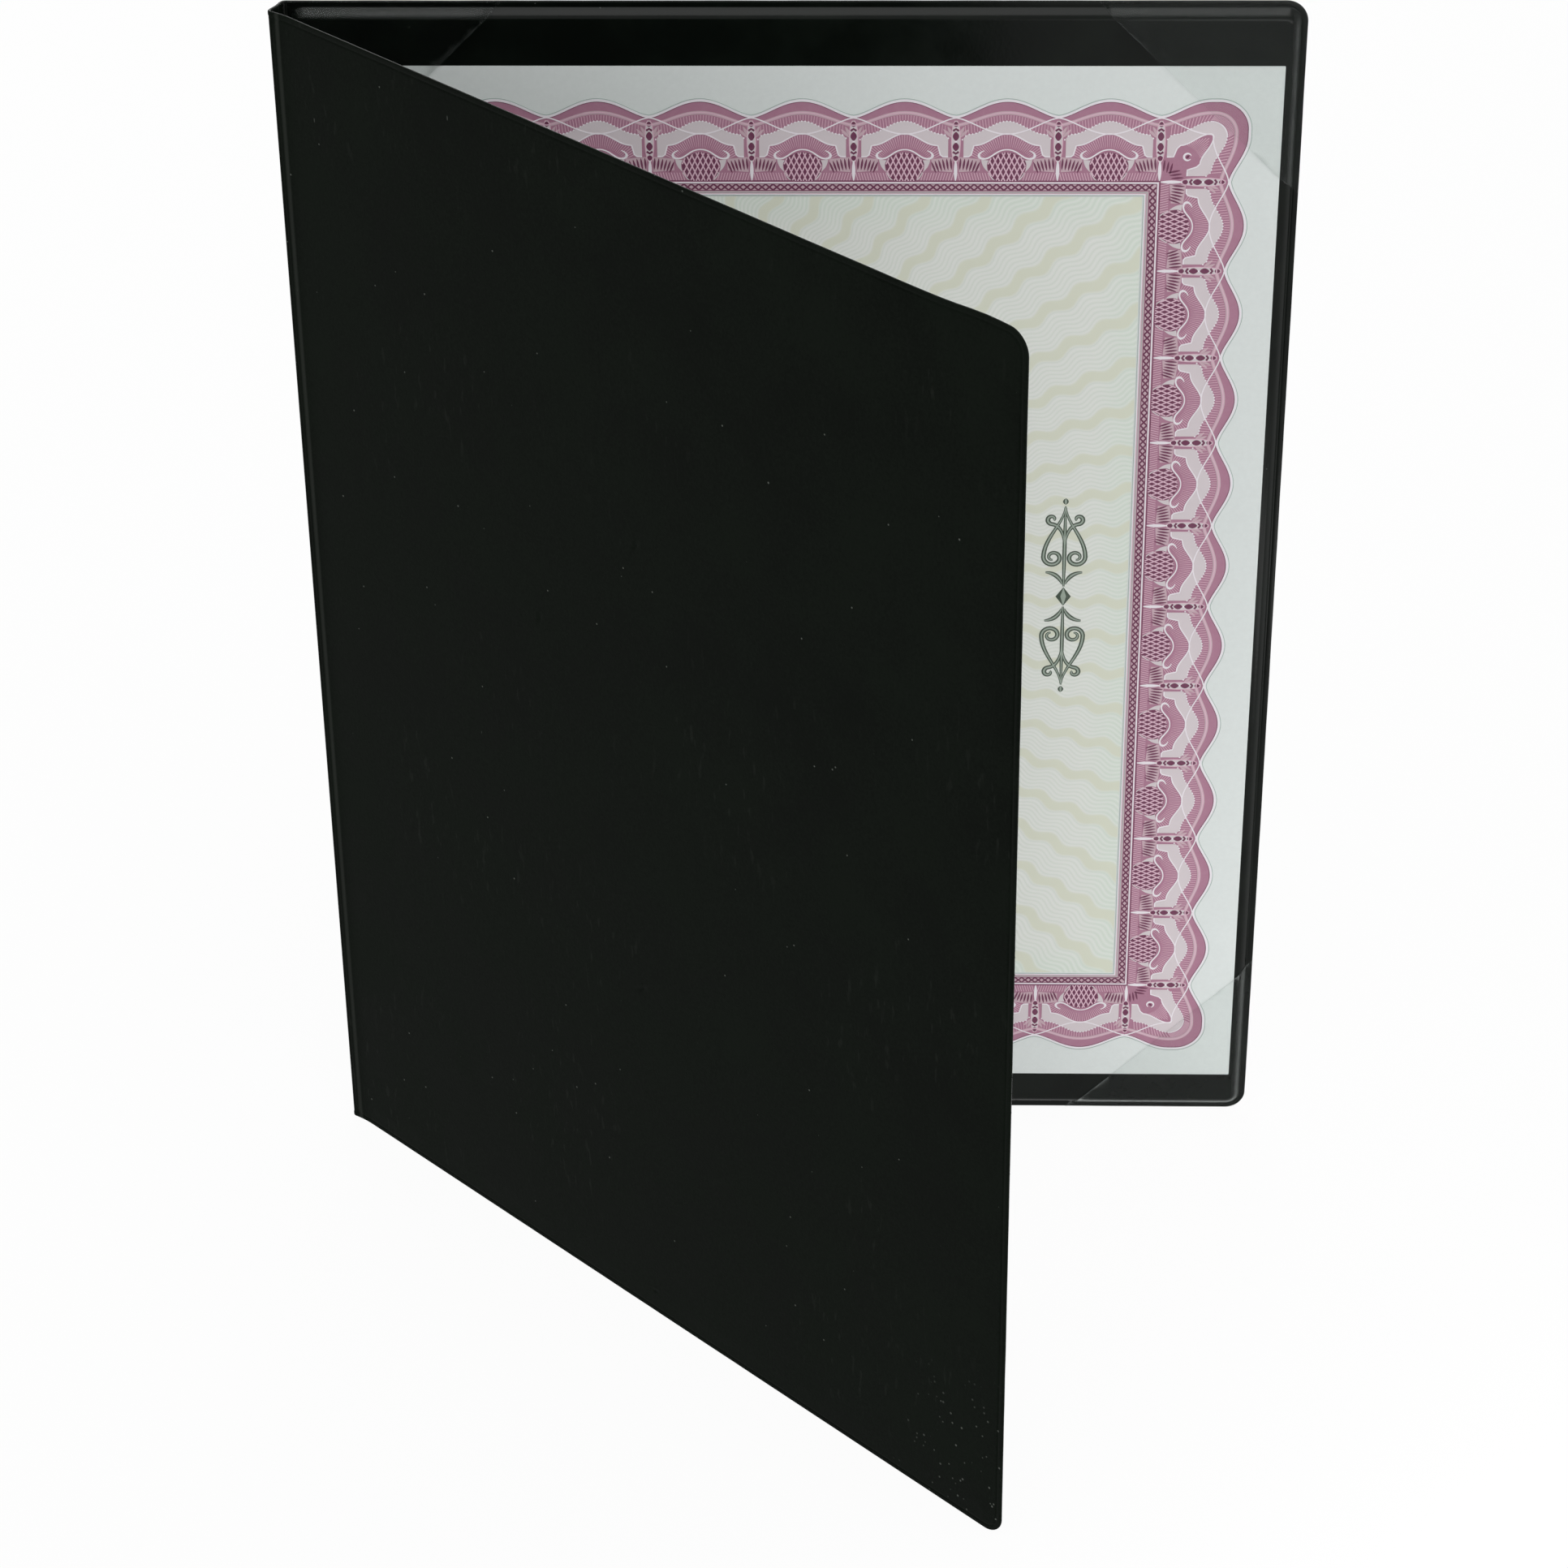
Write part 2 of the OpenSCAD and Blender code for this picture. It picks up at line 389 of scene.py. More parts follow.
@dataclass(frozen=True)
class SheetPaper:
    """Certificate paper with a fine wavy sunburst printed inside the border.

    The pattern's centre and window are places in the frame, in metres.
    """

    centre: Vector
    window_low: Vector
    window_high: Vector
    name: str = "certificate_paper"
    base: Colour = srgb(232, 238, 236)
    mint: Colour = srgb(229, 239, 228)
    inner: Colour = srgb(237, 241, 234)
    cream: Colour = srgb(228, 231, 212)
    line_pale: Colour = srgb(246, 247, 244)
    line_grey: Colour = srgb(216, 223, 214)
    rays: int = 85
    line_pitch: float = 0.1175
    first_line: float = 0.15
    band_middle: float = -0.017
    band_half: float = 0.19
    band_core: float = 0.09
    wave_length: float = 8.7 * MM
    wave_reach: float = 0.78 * MM
    wave_start: float = -1.66
    turn_start: float = 0.18
    least_radius: float = 45.0 * MM
    bare_radius: float = 14.0 * MM
    tint_reach: float = 11.0 * MM
    grey_strength: float = 0.34
    pale_strength: float = 0.44
    band_strength: float = 0.88

    def make(self) -> bpy.types.Material:
        """Build the material."""
        shader = Shader(self.name)
        pulp = shader.cloud(700.0, 5.0, 0.7)
        paper = shader.blend(shader.span(pulp, 0.3, 0.75), tuple(0.965 * c for c in self.base), self.base)

        axes = shader.node("ShaderNodeSeparateXYZ", {0: shader.place})
        across = shader.sum("SUBTRACT", axes.outputs[0], self.centre.x)
        up = shader.sum("SUBTRACT", axes.outputs[2], self.centre.z)
        squares = shader.sum("ADD", shader.sum("MULTIPLY", across, across), shader.sum("MULTIPLY", up, up))
        radius = shader.sum("SQRT", squares)
        held = shader.sum("MAXIMUM", radius, self.least_radius)
        turn = shader.sum("DIVIDE", shader.sum("ARCTAN2", up, across), math.tau / self.rays)
        run = shader.sum("MULTIPLY_ADD", radius, math.tau / self.wave_length, self.wave_start)
        reach = self.wave_reach * self.rays / math.tau
        shift = shader.sum("DIVIDE", shader.sum("MULTIPLY", shader.sum("SINE", run), reach), held)
        phase = shader.sum("ADD", shader.sum("ADD", turn, shift), self.turn_start + self.rays)
        ray = shader.sum("FRACT", phase)
        printed_here = shader.span(radius, 0.6 * self.bare_radius, self.bare_radius)

        from_band = shader.sum("FRACT", shader.sum("SUBTRACT", phase, self.band_middle + 0.5))
        off_band = shader.sum("ABSOLUTE", shader.sum("SUBTRACT", from_band, 0.5))
        band = shader.sum("MULTIPLY", shader.span(off_band, self.band_half, self.band_core), printed_here)
        step = shader.sum("DIVIDE", shader.sum("SUBTRACT", ray, self.first_line - 0.5 * self.line_pitch),
                          self.line_pitch)
        off_line = shader.sum("ABSOLUTE", shader.sum("SUBTRACT", shader.sum("FRACT", step), 0.5))
        clear_of_band = shader.sum("MULTIPLY", shader.span(off_band, self.band_core, 0.16), printed_here)
        pale = shader.sum("MULTIPLY", shader.span(off_line, 0.24, 0.06), clear_of_band)
        grey = shader.sum("MULTIPLY", shader.span(off_line, 0.30, 0.46), clear_of_band)

        left = shader.sum("SUBTRACT", axes.outputs[0], self.window_low.x)
        right = shader.sum("SUBTRACT", self.window_high.x, axes.outputs[0])
        below = shader.sum("SUBTRACT", axes.outputs[2], self.window_low.z)
        above = shader.sum("SUBTRACT", self.window_high.z, axes.outputs[2])
        from_sides = shader.sum("MINIMUM", left, right)
        from_ends = shader.sum("MINIMUM", below, above)
        inside = shader.sum("MINIMUM", from_sides, from_ends)
        ground = shader.blend(shader.span(inside, 0.0, self.tint_reach), self.mint, self.inner)
        printed = shader.blend(shader.sum("MULTIPLY", grey, self.grey_strength), ground, self.line_grey)
        printed = shader.blend(shader.sum("MULTIPLY", pale, self.pale_strength), printed, self.line_pale)
        printed = shader.blend(shader.sum("MULTIPLY", band, self.band_strength), printed, self.cream)
        colour = shader.blend(shader.sum("GREATER_THAN", inside, 0.0), paper, printed)

        shader.set(
            Base_Color=colour,
            Roughness=shader.span(pulp, 0.2, 0.8, 0.66, 0.8),
            Normal=shader.bump(pulp, 0.006 * MM),
            Specular_IOR_Level=0.25,
        )
        return shader.material


@dataclass(frozen=True)
class PanelPlace:
    """Where a panel stands: its fold line's foot, and the directions across it and out of its inside."""

    fold: Vector
    along: Vector
    inner: Vector

    def put(self, points: np.ndarray) -> np.ndarray:
        """Turn a panel's own coordinates into the frame's.

        Args:
            points: Rows of distances from the fold, up, and out of the inner face, in metres.

        Returns:
            Rows of X, Y and Z.
        """
        return np.array(self.fold) + points @ np.array([self.along, UP, self.inner])


@dataclass(frozen=True)
class HolderFrame:
    """Places and main sizes that the CAD model gives."""

    back: PanelPlace
    front: PanelPlace
    panel_w: float
    panel_h: float
    face_h: float

    @classmethod
    def read(cls) -> "HolderFrame":
        """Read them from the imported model's joints, mounts and boxes."""
        joints = {joint["name"]: Vector(joint["pos_m"]) for joint in frame["joints"]}
        mounts = {mount["name"]: mount for mount in frame["record"]["mounts"]}
        back_fold, front_fold = joints["back_fold"], joints["front_fold"]
        _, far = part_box("back_outer_skin")
        inner = -Vector(mounts["cover_face"]["axis"]).normalized()
        return cls(
            back=PanelPlace(back_fold, Vector((1.0, 0.0, 0.0)), Vector((0.0, -1.0, 0.0))),
            front=PanelPlace(front_fold, Vector((inner.y, -inner.x, 0.0)), inner),
            panel_w=far.x - back_fold.x,
            panel_h=far.z,
            face_h=far.y,
        )


@dataclass(frozen=True)
class PanelShape:
    """Outline and section that the skins and the clear corners share, in metres."""

    panel_w: float
    panel_h: float
    face_h: float
    skin_t: float = 0.35 * MM
    land_w: float = 1.6 * MM
    shoulder_w: float = 2.3 * MM
    corner_r: float = 5.0 * MM
    seam_u: float = 1.2 * MM
    edge_round: float = 0.3 * MM
    edge_share: float = 0.35
    weld_line: float = 1.34 * MM
    weld_line_w: float = 0.24 * MM
    weld_line_depth: float = 0.13 * MM
    weld_out: float = 0.8 * MM
    fold_bow: float = 0.0
    bow_reach: float = 7.0 * MM
    top_swell: float = 0.0
    swell_from_free: float = 10.5 * MM
    swell_half_w: float = 9.0 * MM
    swell_h: float = 12.0 * MM
    fine_steps: tuple[float, ...] = (
        0.0, 0.08, 0.2, 0.35, 0.6, 0.9, 1.2, 1.3, 1.42, 1.54, 1.65, 1.8, 2.0, 2.25,
        2.5, 2.75, 3.0, 3.3, 3.6, 3.9, 4.2, 4.6, 5.0, 6.0, 8.0, 11.0,
    )
    wide_step: float = 4.0 * MM
    least_gap: float = 0.02 * MM

    @property
    def slope_h(self) -> float:
        """Height of the slope between the weld and the face."""
        return self.face_h - self.skin_t

    def lines(self, length: float, start: float = 0.0, extra: Iterable[float] = ()) -> np.ndarray:
        """Choose where a panel's grid has its lines: close together at both edges and at extra places.

        Args:
            length: The panel's size in that direction.
            start: Where the grid starts, from the edge at 0.
            extra: Places that need lines of their own.

        Returns:
            The places in rising order.
        """
        edge = np.array(self.fine_steps) * MM
        middle = np.linspace(edge[-1], length - edge[-1], round((length - 2 * edge[-1]) / self.wide_step))
        places = np.concatenate([edge, middle, length - edge, np.array(list(extra), float)])
        places = np.unique(np.round(places[places >= start - 1e-9], 8))
        return places[np.concatenate([[True], np.diff(places) > self.least_gap])]

    def inset(self, u: np.ndarray, v: np.ndarray) -> np.ndarray:
        """Distance in from the nearest edge, on a panel with square corners."""
        return np.minimum(np.minimum(u, self.panel_w - u), np.minimum(v, self.panel_h - v))

    def plan(self, u: np.ndarray, v: np.ndarray) -> tuple[np.ndarray, np.ndarray]:
        """Round the corners of a square-cornered grid.

        Every line at one inset becomes an arc round the corner's centre. At the fold the outline stays
        square, and only what lies inside the weld is rounded.

        Args:
            u: Distances from the fold.
            v: Distances up the panel.

        Returns:
            The same points' places on the real panel.
        """
        near_u, near_v = np.minimum(u, self.panel_w - u), np.minimum(v, self.panel_h - v)
        p = np.clip(1.0 - near_u / self.corner_r, 0.0, 1.0)
        q = np.clip(1.0 - near_v / self.corner_r, 0.0, 1.0)
        both = np.maximum(np.maximum(p, q), 1e-12)
        angle = np.where(p >= q, np.pi / 4 * q / both, np.pi / 2 - np.pi / 4 * p / both)
        at_fold = ease((self.inset(u, v) - self.seam_u) / (self.land_w - self.seam_u))
        share = np.where(u < self.corner_r, at_fold, 1.0)
        new_p = p + (both * np.cos(angle) - p) * share
        new_q = q + (both * np.sin(angle) - q) * share
        place_u = np.where(p > 0, self.corner_r * (1.0 - new_p), near_u)
        place_v = np.where(q > 0, self.corner_r * (1.0 - new_q), near_v)
        return (
            np.where(u < self.panel_w / 2, place_u, self.panel_w - place_u),
            np.where(v < self.panel_h / 2, place_v, self.panel_h - place_v),
        )

    def slope(self, inset: np.ndarray, rise: float) -> np.ndarray:
        """Height of a slope of that rise, which starts where the weld ends."""
        return rise * np.sin(np.pi / 2 * np.clip((inset - self.land_w) / self.shoulder_w, 0.0, 1.0))

    def land(self, inset: np.ndarray) -> np.ndarray:
        """Thickness of one skin at the weld, rounded at its rim and pressed in along the weld line."""
        rim = np.clip(inset / self.edge_round, 0.0, 1.0)
        rounded = self.edge_share + (1.0 - self.edge_share) * np.sqrt(1.0 - (1.0 - rim) ** 2)
        pressed = self.weld_line_depth * np.exp(-(((inset - self.weld_line) / self.weld_line_w) ** 2))
        return self.skin_t * rounded - pressed

    def weld_shift(self, inset: np.ndarray) -> np.ndarray:
        """How far the welded edge lies towards the outer face, which ends at the face."""
        return self.weld_out - self.slope(inset, self.weld_out)

    def bow(self, u: np.ndarray | float) -> np.ndarray:
        """How far the soft vinyl beside the fold stands out from the weld."""
        return self.fold_bow * (1.0 - np.clip(np.asarray(u) / self.bow_reach, 0.0, 1.0)) ** 2

    def swell(self, u: np.ndarray, v: np.ndarray) -> np.ndarray:
        """How far the top edge swells upwards, close to its free end."""
        from_crest = (u - self.panel_w + self.swell_from_free) / self.swell_half_w
        crest = self.top_swell * np.exp(-(from_crest**2))
        return crest * ease((v - self.panel_h + self.swell_h) / self.swell_h)


def soft_noise(points: np.ndarray, size: float, seed: float) -> np.ndarray:
    """Give smooth noise from -1 to 1 at each point.

    Args:
        points: Rows of coordinates in metres.
        size: Size of a lump in metres.
        seed: Offset that makes one use differ from another.

    Returns:
        One value for each point.
    """
    shift = Vector((seed, seed * 1.7, seed * 0.6))
    return np.array([noise.noise(Vector(point) / size + shift) for point in points])


def make_piece(
    name: str, points: np.ndarray, faces: list, materials: list, smooth: bool = True
) -> bpy.types.Object:
    """Make a closed mesh object with its faces pointing outwards.

    Args:
        name: The piece's name.
        points: Rows of coordinates in the frame, in metres.
        faces: Corner numbers of each face.
        materials: Materials for its slots.
        smooth: Whether the faces are shaded smooth.

    Returns:
        The object, linked to the scene.
    """
    mesh = bpy.data.meshes.new(name)
    mesh.from_pydata(points.tolist(), [], faces)
    shell = bmesh.new()
    shell.from_mesh(mesh)
    bmesh.ops.recalc_face_normals(shell, faces=shell.faces)
    shell.to_mesh(mesh)
    shell.free()
    mesh.polygons.foreach_set("use_smooth", [smooth] * len(mesh.polygons))
    for material in materials:
        mesh.materials.append(material)
    piece = bpy.data.objects.new(name, mesh)
    bpy.context.scene.collection.objects.link(piece)
    return piece


def slab_faces(rows: int, columns: int) -> list[tuple[int, ...]]:
    """Faces of a closed slab whose two sides are grids of the same points, one after the other.

    Args:
        rows: Points in the first direction.
        columns: Points in the second direction.

    Returns:
        Corner numbers of each face.
    """
    side = rows * columns
    faces = []
    for i in range(rows - 1):
        for j in range(columns - 1):
            a = i * columns + j
            quad = (a, a + columns, a + columns + 1, a + 1)
            faces.append(quad)
            faces.append(tuple(side + k for k in reversed(quad)))
    rim = [(i * columns, (i + 1) * columns) for i in range(rows - 1)]
    rim += [(i * columns + columns - 1, (i + 1) * columns + columns - 1) for i in range(rows - 1)]
    rim += [(j, j + 1) for j in range(columns - 1)]
    rim += [((rows - 1) * columns + j, (rows - 1) * columns + j + 1) for j in range(columns - 1)]
    faces += [(a, b, b + side, a + side) for a, b in rim]
    return faces


def finish_piece(piece: bpy.types.Object, slot: str, body: str, *nodes: str) -> None:
    """Hide the CAD parts that a rigid piece replaces, hang it on its body, and report it."""
    if nodes:
        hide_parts(*nodes)
    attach(piece, body)
    log.info("%s: %d faces on %s", piece.name, len(piece.data.polygons), body)


@dataclass(frozen=True)
class Dent:
    """A small mark pressed into a skin, in the panel's own coordinates."""

    u: float
    v: float
    length: float
    width: float
    turn: float
    depth: float

    def height(self, u: np.ndarray, v: np.ndarray) -> np.ndarray:
        """Change of height at each place: a pit with a low lip on one side."""
        across, up = u - self.u, v - self.v
        a = (across * math.cos(self.turn) + up * math.sin(self.turn)) / self.length
        b = (up * math.cos(self.turn) - across * math.sin(self.turn)) / self.width
        pit = -self.depth * np.exp(-(a**2 + b**2))
        lip = 0.45 * self.depth * np.exp(-(a**2 + (b - 1.9) ** 2))
        return pit + lip


@dataclass
class WeldedSkin:
    """One skin of a panel: flat along its welded edge, and raised over the board."""

    name: str
    shape: PanelShape
    place: PanelPlace
    inside: bool
    pillow: float
    ripple: float
    seed: float
    dents: tuple[Dent, ...] = ()
    pillow_reach: float = 7.0 * MM
    ripple_size: float = 34.0 * MM
    rim_wander: float = 0.05 * MM
    rim_wander_size: float = 9.0 * MM
    face_ease: float = 4.0 * MM
    loose_w: float = 1.0 * MM
    still_u: float = 3.0 * MM
    still_ease: float = 4.0 * MM
    dent_step: float = 0.4 * MM

    def dent_lines(self, middle: float) -> list[float]:
        """Places of extra grid lines round a dent."""
        return [middle + step * self.dent_step for step in range(-6, 7)]

    def build(self, material: bpy.types.Material) -> bpy.types.Object:
        """Mesh the skin as a closed shell from the weld plane outwards.

        Args:
            material: What the skin is made of.

        Returns:
            The skin's object.
        """
        shape = self.shape
        extra_u = [line for dent in self.dents for line in self.dent_lines(dent.u)]
        extra_v = [line for dent in self.dents for line in self.dent_lines(dent.v)]
        us = shape.lines(shape.panel_w, shape.seam_u, extra_u)
        vs = shape.lines(shape.panel_h, 0.0, [line for line in extra_v if line > 0])
        u, v = (axis.ravel() for axis in np.meshgrid(us, vs, indexing="ij"))
        inset = shape.inset(u, v)
        plan_u, plan_v = shape.plan(u, v)
        flat = np.stack([plan_u, plan_v, np.zeros_like(u)], axis=1)

        on_face = ease((inset - shape.land_w - 0.6 * shape.shoulder_w) / self.face_ease)
        over = shape.land(inset) + shape.slope(inset, shape.slope_h)
        over += self.pillow * (1.0 - np.exp(-np.clip(inset - shape.land_w, 0.0, None) / self.pillow_reach))
        over += on_face * self.ripple * (1.0 + soft_noise(flat, self.ripple_size, self.seed)) / 2
        for dent in self.dents:
            over += dent.height(plan_u, plan_v)
        under = shape.slope(inset, shape.slope_h)

        loose = 1.0 - ease(inset / self.loose_w)
        wander = loose * self.rim_wander * soft_noise(flat, self.rim_wander_size, self.seed + 5.0)
        wander *= ease((plan_u - self.still_u) / self.still_ease)
        outward_u = np.where(shape.panel_w - u < np.minimum(v, shape.panel_h - v), 1.0, 0.0)
        outward_v = np.where(outward_u > 0, 0.0, np.where(v < shape.panel_h / 2, -1.0, 1.0))
        plan_u = plan_u + wander * outward_u
        plan_v = np.clip(plan_v + np.minimum(wander, 0.0) * outward_v, 0.0, None)

        side = 1.0 if self.inside else -1.0
        outwards = shape.bow(plan_u) + shape.weld_shift(inset)
        plan_v = plan_v + shape.swell(plan_u, plan_v)
        top = np.stack([plan_u, plan_v, side * over - outwards], axis=1)
        bottom = np.stack([plan_u, plan_v, side * under - outwards], axis=1)
        points = self.place.put(np.concatenate([top, bottom]))
        return make_piece(self.name, points, slab_faces(len(us), len(vs)), [material])


@dataclass
class Panel:
    """A stiff panel: an outer skin and a lining over a board."""

    body: str
    shape: PanelShape
    place: PanelPlace
    outer_name: str
    lining_name: str
    outer_node: str
    lining_node: str
    board_node: str
    seed: float
    dents: tuple[Dent, ...] = ()
    outer_pillow: float = 0.16 * MM
    outer_ripple: float = 0.07 * MM
    lining_seed_step: float = 20.0

    def build(
        self, vinyl: bpy.types.Material, lining: bpy.types.Material, board: bpy.types.Material
    ) -> None:
        """Mesh both skins and dress the board between them.

        Args:
            vinyl: The outer skin's material.
            lining: The inner skin's material.
            board: The board's material.
        """
        outer = WeldedSkin(
            self.outer_name, self.shape, self.place, False, self.outer_pillow, self.outer_ripple,
            self.seed, self.dents,
        )
        inner = WeldedSkin(
            self.lining_name, self.shape, self.place, True, 0.0, 0.0, self.seed + self.lining_seed_step
        )
        finish_piece(outer.build(vinyl), "black_vinyl", self.body, self.outer_node)
        finish_piece(inner.build(lining), "black_lining", self.body, self.lining_node)
        sheet = frame["nodes"][self.board_node].data.materials
        sheet.clear()
        sheet.append(board)
        log.info("%s: CAD solid in greyboard", self.board_node)


@dataclass
class SpineHalf:
    """The spine's vinyl and lining from one panel's weld, round the fold, to the spine's middle line."""

    label: str
    body: str
    shape: PanelShape
    place: PanelPlace
    spine_along: Vector
    half_w: float
    pull: float = 4.3 * MM
    blend_reach: float = 1.15 * MM
    steps: int = 20

    def route(self) -> tuple[np.ndarray, np.ndarray]:
        """Follow the weld plane round the fold, on one smooth bend.

        Returns:
            The points of the path at the foot of the holder, and the outward direction at each.
        """
        shape, place = self.shape, self.place
        panel_outer = -place.inner
        step = 0.01 * MM
        rise = (shape.bow(shape.seam_u - step) - shape.bow(shape.seam_u)) / step
        outwards = shape.weld_out + float(shape.bow(shape.seam_u))
        start = place.fold + place.along * shape.seam_u + panel_outer * outwards
        end = place.fold + self.spine_along * self.half_w
        leave = (panel_outer * float(rise) - place.along).normalized() * self.pull
        arrive = self.spine_along * self.pull

        t = np.linspace(0.0, 1.0, self.steps + 1)[:, None]
        points = (
            (2 * t**3 - 3 * t**2 + 1) * np.array(start) + (t**3 - 2 * t**2 + t) * np.array(leave)
            + (3 * t**2 - 2 * t**3) * np.array(end) + (t**3 - t**2) * np.array(arrive)
        )
        ways = (
            (6 * t**2 - 6 * t) * (np.array(start) - np.array(end))
            + (3 * t**2 - 4 * t + 1) * np.array(leave) + (3 * t**2 - 2 * t) * np.array(arrive)
        )
        outwards = np.cross(ways, np.array(UP))
        outwards /= np.linalg.norm(outwards, axis=1, keepdims=True)
        outwards *= np.sign(outwards[0] @ np.array(panel_outer))
        turned_in = ease(np.arange(self.steps + 1) / 3)[:, None]
        return points, outwards * turned_in + np.array(panel_outer) * (1.0 - turned_in)

    def strip(self, name: str, side: float, material: bpy.types.Material) -> bpy.types.Object:
        """Mesh the layer on one side of the weld plane.

        Args:
            name: The piece's name.
            side: 1 for the outside, -1 for the lining.
            material: What it is made of.

        Returns:
            The strip's object, bent round the fold.
        """
        vs = self.shape.lines(self.shape.panel_h)
        rim = np.minimum(np.minimum(vs, self.shape.panel_h - vs), self.shape.seam_u)
        thickness = self.shape.land(rim)
        path, outward = self.route()
        rows = []
        for depth in (thickness, np.zeros_like(thickness)):
            for point, out in zip(path, outward):
                row = point[None, :] + side * depth[:, None] * out[None, :]
                row[:, 2] = vs
                rows.append(row)
        piece = make_piece(name, np.concatenate(rows), slab_faces(len(path), len(vs)), [material])
        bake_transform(piece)
        return piece

    def build(self, vinyl: bpy.types.Material, lining: bpy.types.Material) -> None:
        """Make this half's vinyl and lining."""
        for kind, side, material, slot in (
            ("outer", 1.0, vinyl, "black_vinyl"),
            ("inner", -1.0, lining, "black_lining"),
        ):
            piece = self.strip(f"spine_{kind}_{self.label}_half", side, material)
            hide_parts(f"spine_{kind}_skin")
            log.info("%s: %d faces between %s and spine", piece.name, len(piece.data.polygons), self.body)


@dataclass
class ClearCorner:
    """Clear film over one corner of the back panel, welded along its two outer edges."""

    shape: PanelShape
    place: PanelPlace
    node: str
    at_free_edge: bool
    at_top: bool
    leg: float
    slot_h: float
    film_t: float = 0.15 * MM
    rim_inset: float = 0.12 * MM
    spare: float = 6.0 * MM
    tolerance: float = 1e-7

    def grid(self) -> tuple[np.ndarray, np.ndarray]:
        """Choose the grid lines that the film needs, from its corner to a little past its long edge."""
        shape = self.shape
        start = shape.seam_u + self.rim_inset
        us = shape.lines(shape.panel_w, start, [self.rim_inset])
        vs = shape.lines(shape.panel_h, self.rim_inset, [self.rim_inset, shape.panel_h - self.rim_inset])
        us = us[us <= shape.panel_w - self.rim_inset + self.tolerance]
        vs = vs[vs <= shape.panel_h - self.rim_inset + self.tolerance]
        reach = self.leg + self.spare
        us = us[us > shape.panel_w - reach] if self.at_free_edge else us[us < reach]
        vs = vs[vs > shape.panel_h - reach] if self.at_top else vs[vs < reach]
        return us, vs

    def build(self, film: bpy.types.Material, cut_edge: bpy.types.Material) -> None:
        """Mesh the film, cut it along its long edge and put it on the panel.

        Args:
            film: The film's material.
            cut_edge: The material of its cut edge.
        """
        shape = self.shape
        us, vs = self.grid()
        u, v = (axis.ravel() for axis in np.meshgrid(us, vs, indexing="ij"))
        inset = shape.inset(u, v)
        plan_u, plan_v = shape.plan(u, v)
        rise = shape.slope_h + self.slot_h
        under = shape.skin_t + shape.slope(inset, rise) - shape.weld_shift(inset)
        top = np.stack([plan_u, plan_v, under + self.film_t], axis=1)
        bottom = np.stack([plan_u, plan_v, under], axis=1)

        mesh = bpy.data.meshes.new(self.node)
        mesh.from_pydata(np.concatenate([top, bottom]).tolist(), [], slab_faces(len(us), len(vs)))
        shell = bmesh.new()
        shell.from_mesh(mesh)
        way_u, way_v = (-1.0 if self.at_free_edge else 1.0), (-1.0 if self.at_top else 1.0)
        corner_u = shape.panel_w if self.at_free_edge else 0.0
        corner_v = shape.panel_h if self.at_top else 0.0
        cut = bmesh.ops.bisect_plane(
            shell,
            geom=[*shell.verts, *shell.edges, *shell.faces],
            plane_co=(corner_u + way_u * self.leg, corner_v, 0.0),
            plane_no=(way_u, way_v, 0.0),
            clear_outer=True,
        )
        edges = [part for part in cut["geom_cut"] if isinstance(part, bmesh.types.BMEdge)]
        closing = bmesh.ops.triangle_fill(shell, edges=edges, use_beauty=True)["geom"]
        for part in closing:
            if isinstance(part, bmesh.types.BMFace):
                part.material_index = 1
        for vertex in shell.verts:
            vertex.co = Vector(self.place.put(np.array([vertex.co]))[0])
        bmesh.ops.recalc_face_normals(shell, faces=shell.faces)
        shell.to_mesh(mesh)
        shell.free()
        for polygon in mesh.polygons:
            polygon.use_smooth = polygon.material_index == 0
        mesh.materials.append(film)
        mesh.materials.append(cut_edge)
        piece = bpy.data.objects.new(self.node.replace("clear_corner", "clear_film"), mesh)
        bpy.context.scene.collection.objects.link(piece)
        finish_piece(piece, "clear_film", "back_panel", self.node)


class Ink(Enum):
    """The print's inks, each with its place in the stack and its colour."""

    MAUVE = (1, srgb(178, 127, 150))
    BLUSH = (2, srgb(208, 180, 190))
    PALE = (3, srgb(222, 212, 216))
    PLUM = (4, srgb(114, 56, 86))
    PINK = (5, srgb(226, 190, 206))
    WHITE = (6, srgb(246, 240, 246))
    GREY = (6, srgb(172, 186, 181))

    @property
    def label(self) -> str:
        """The ink's name in lower case."""
        return self.name.lower()


class Tile(IntEnum):
    """The parts that the border repeats, in the order in which they lie on each other."""

    SIDE = 0
    CORNER = 1
    BAR = 2
    BEAD = 3
    RING = 4


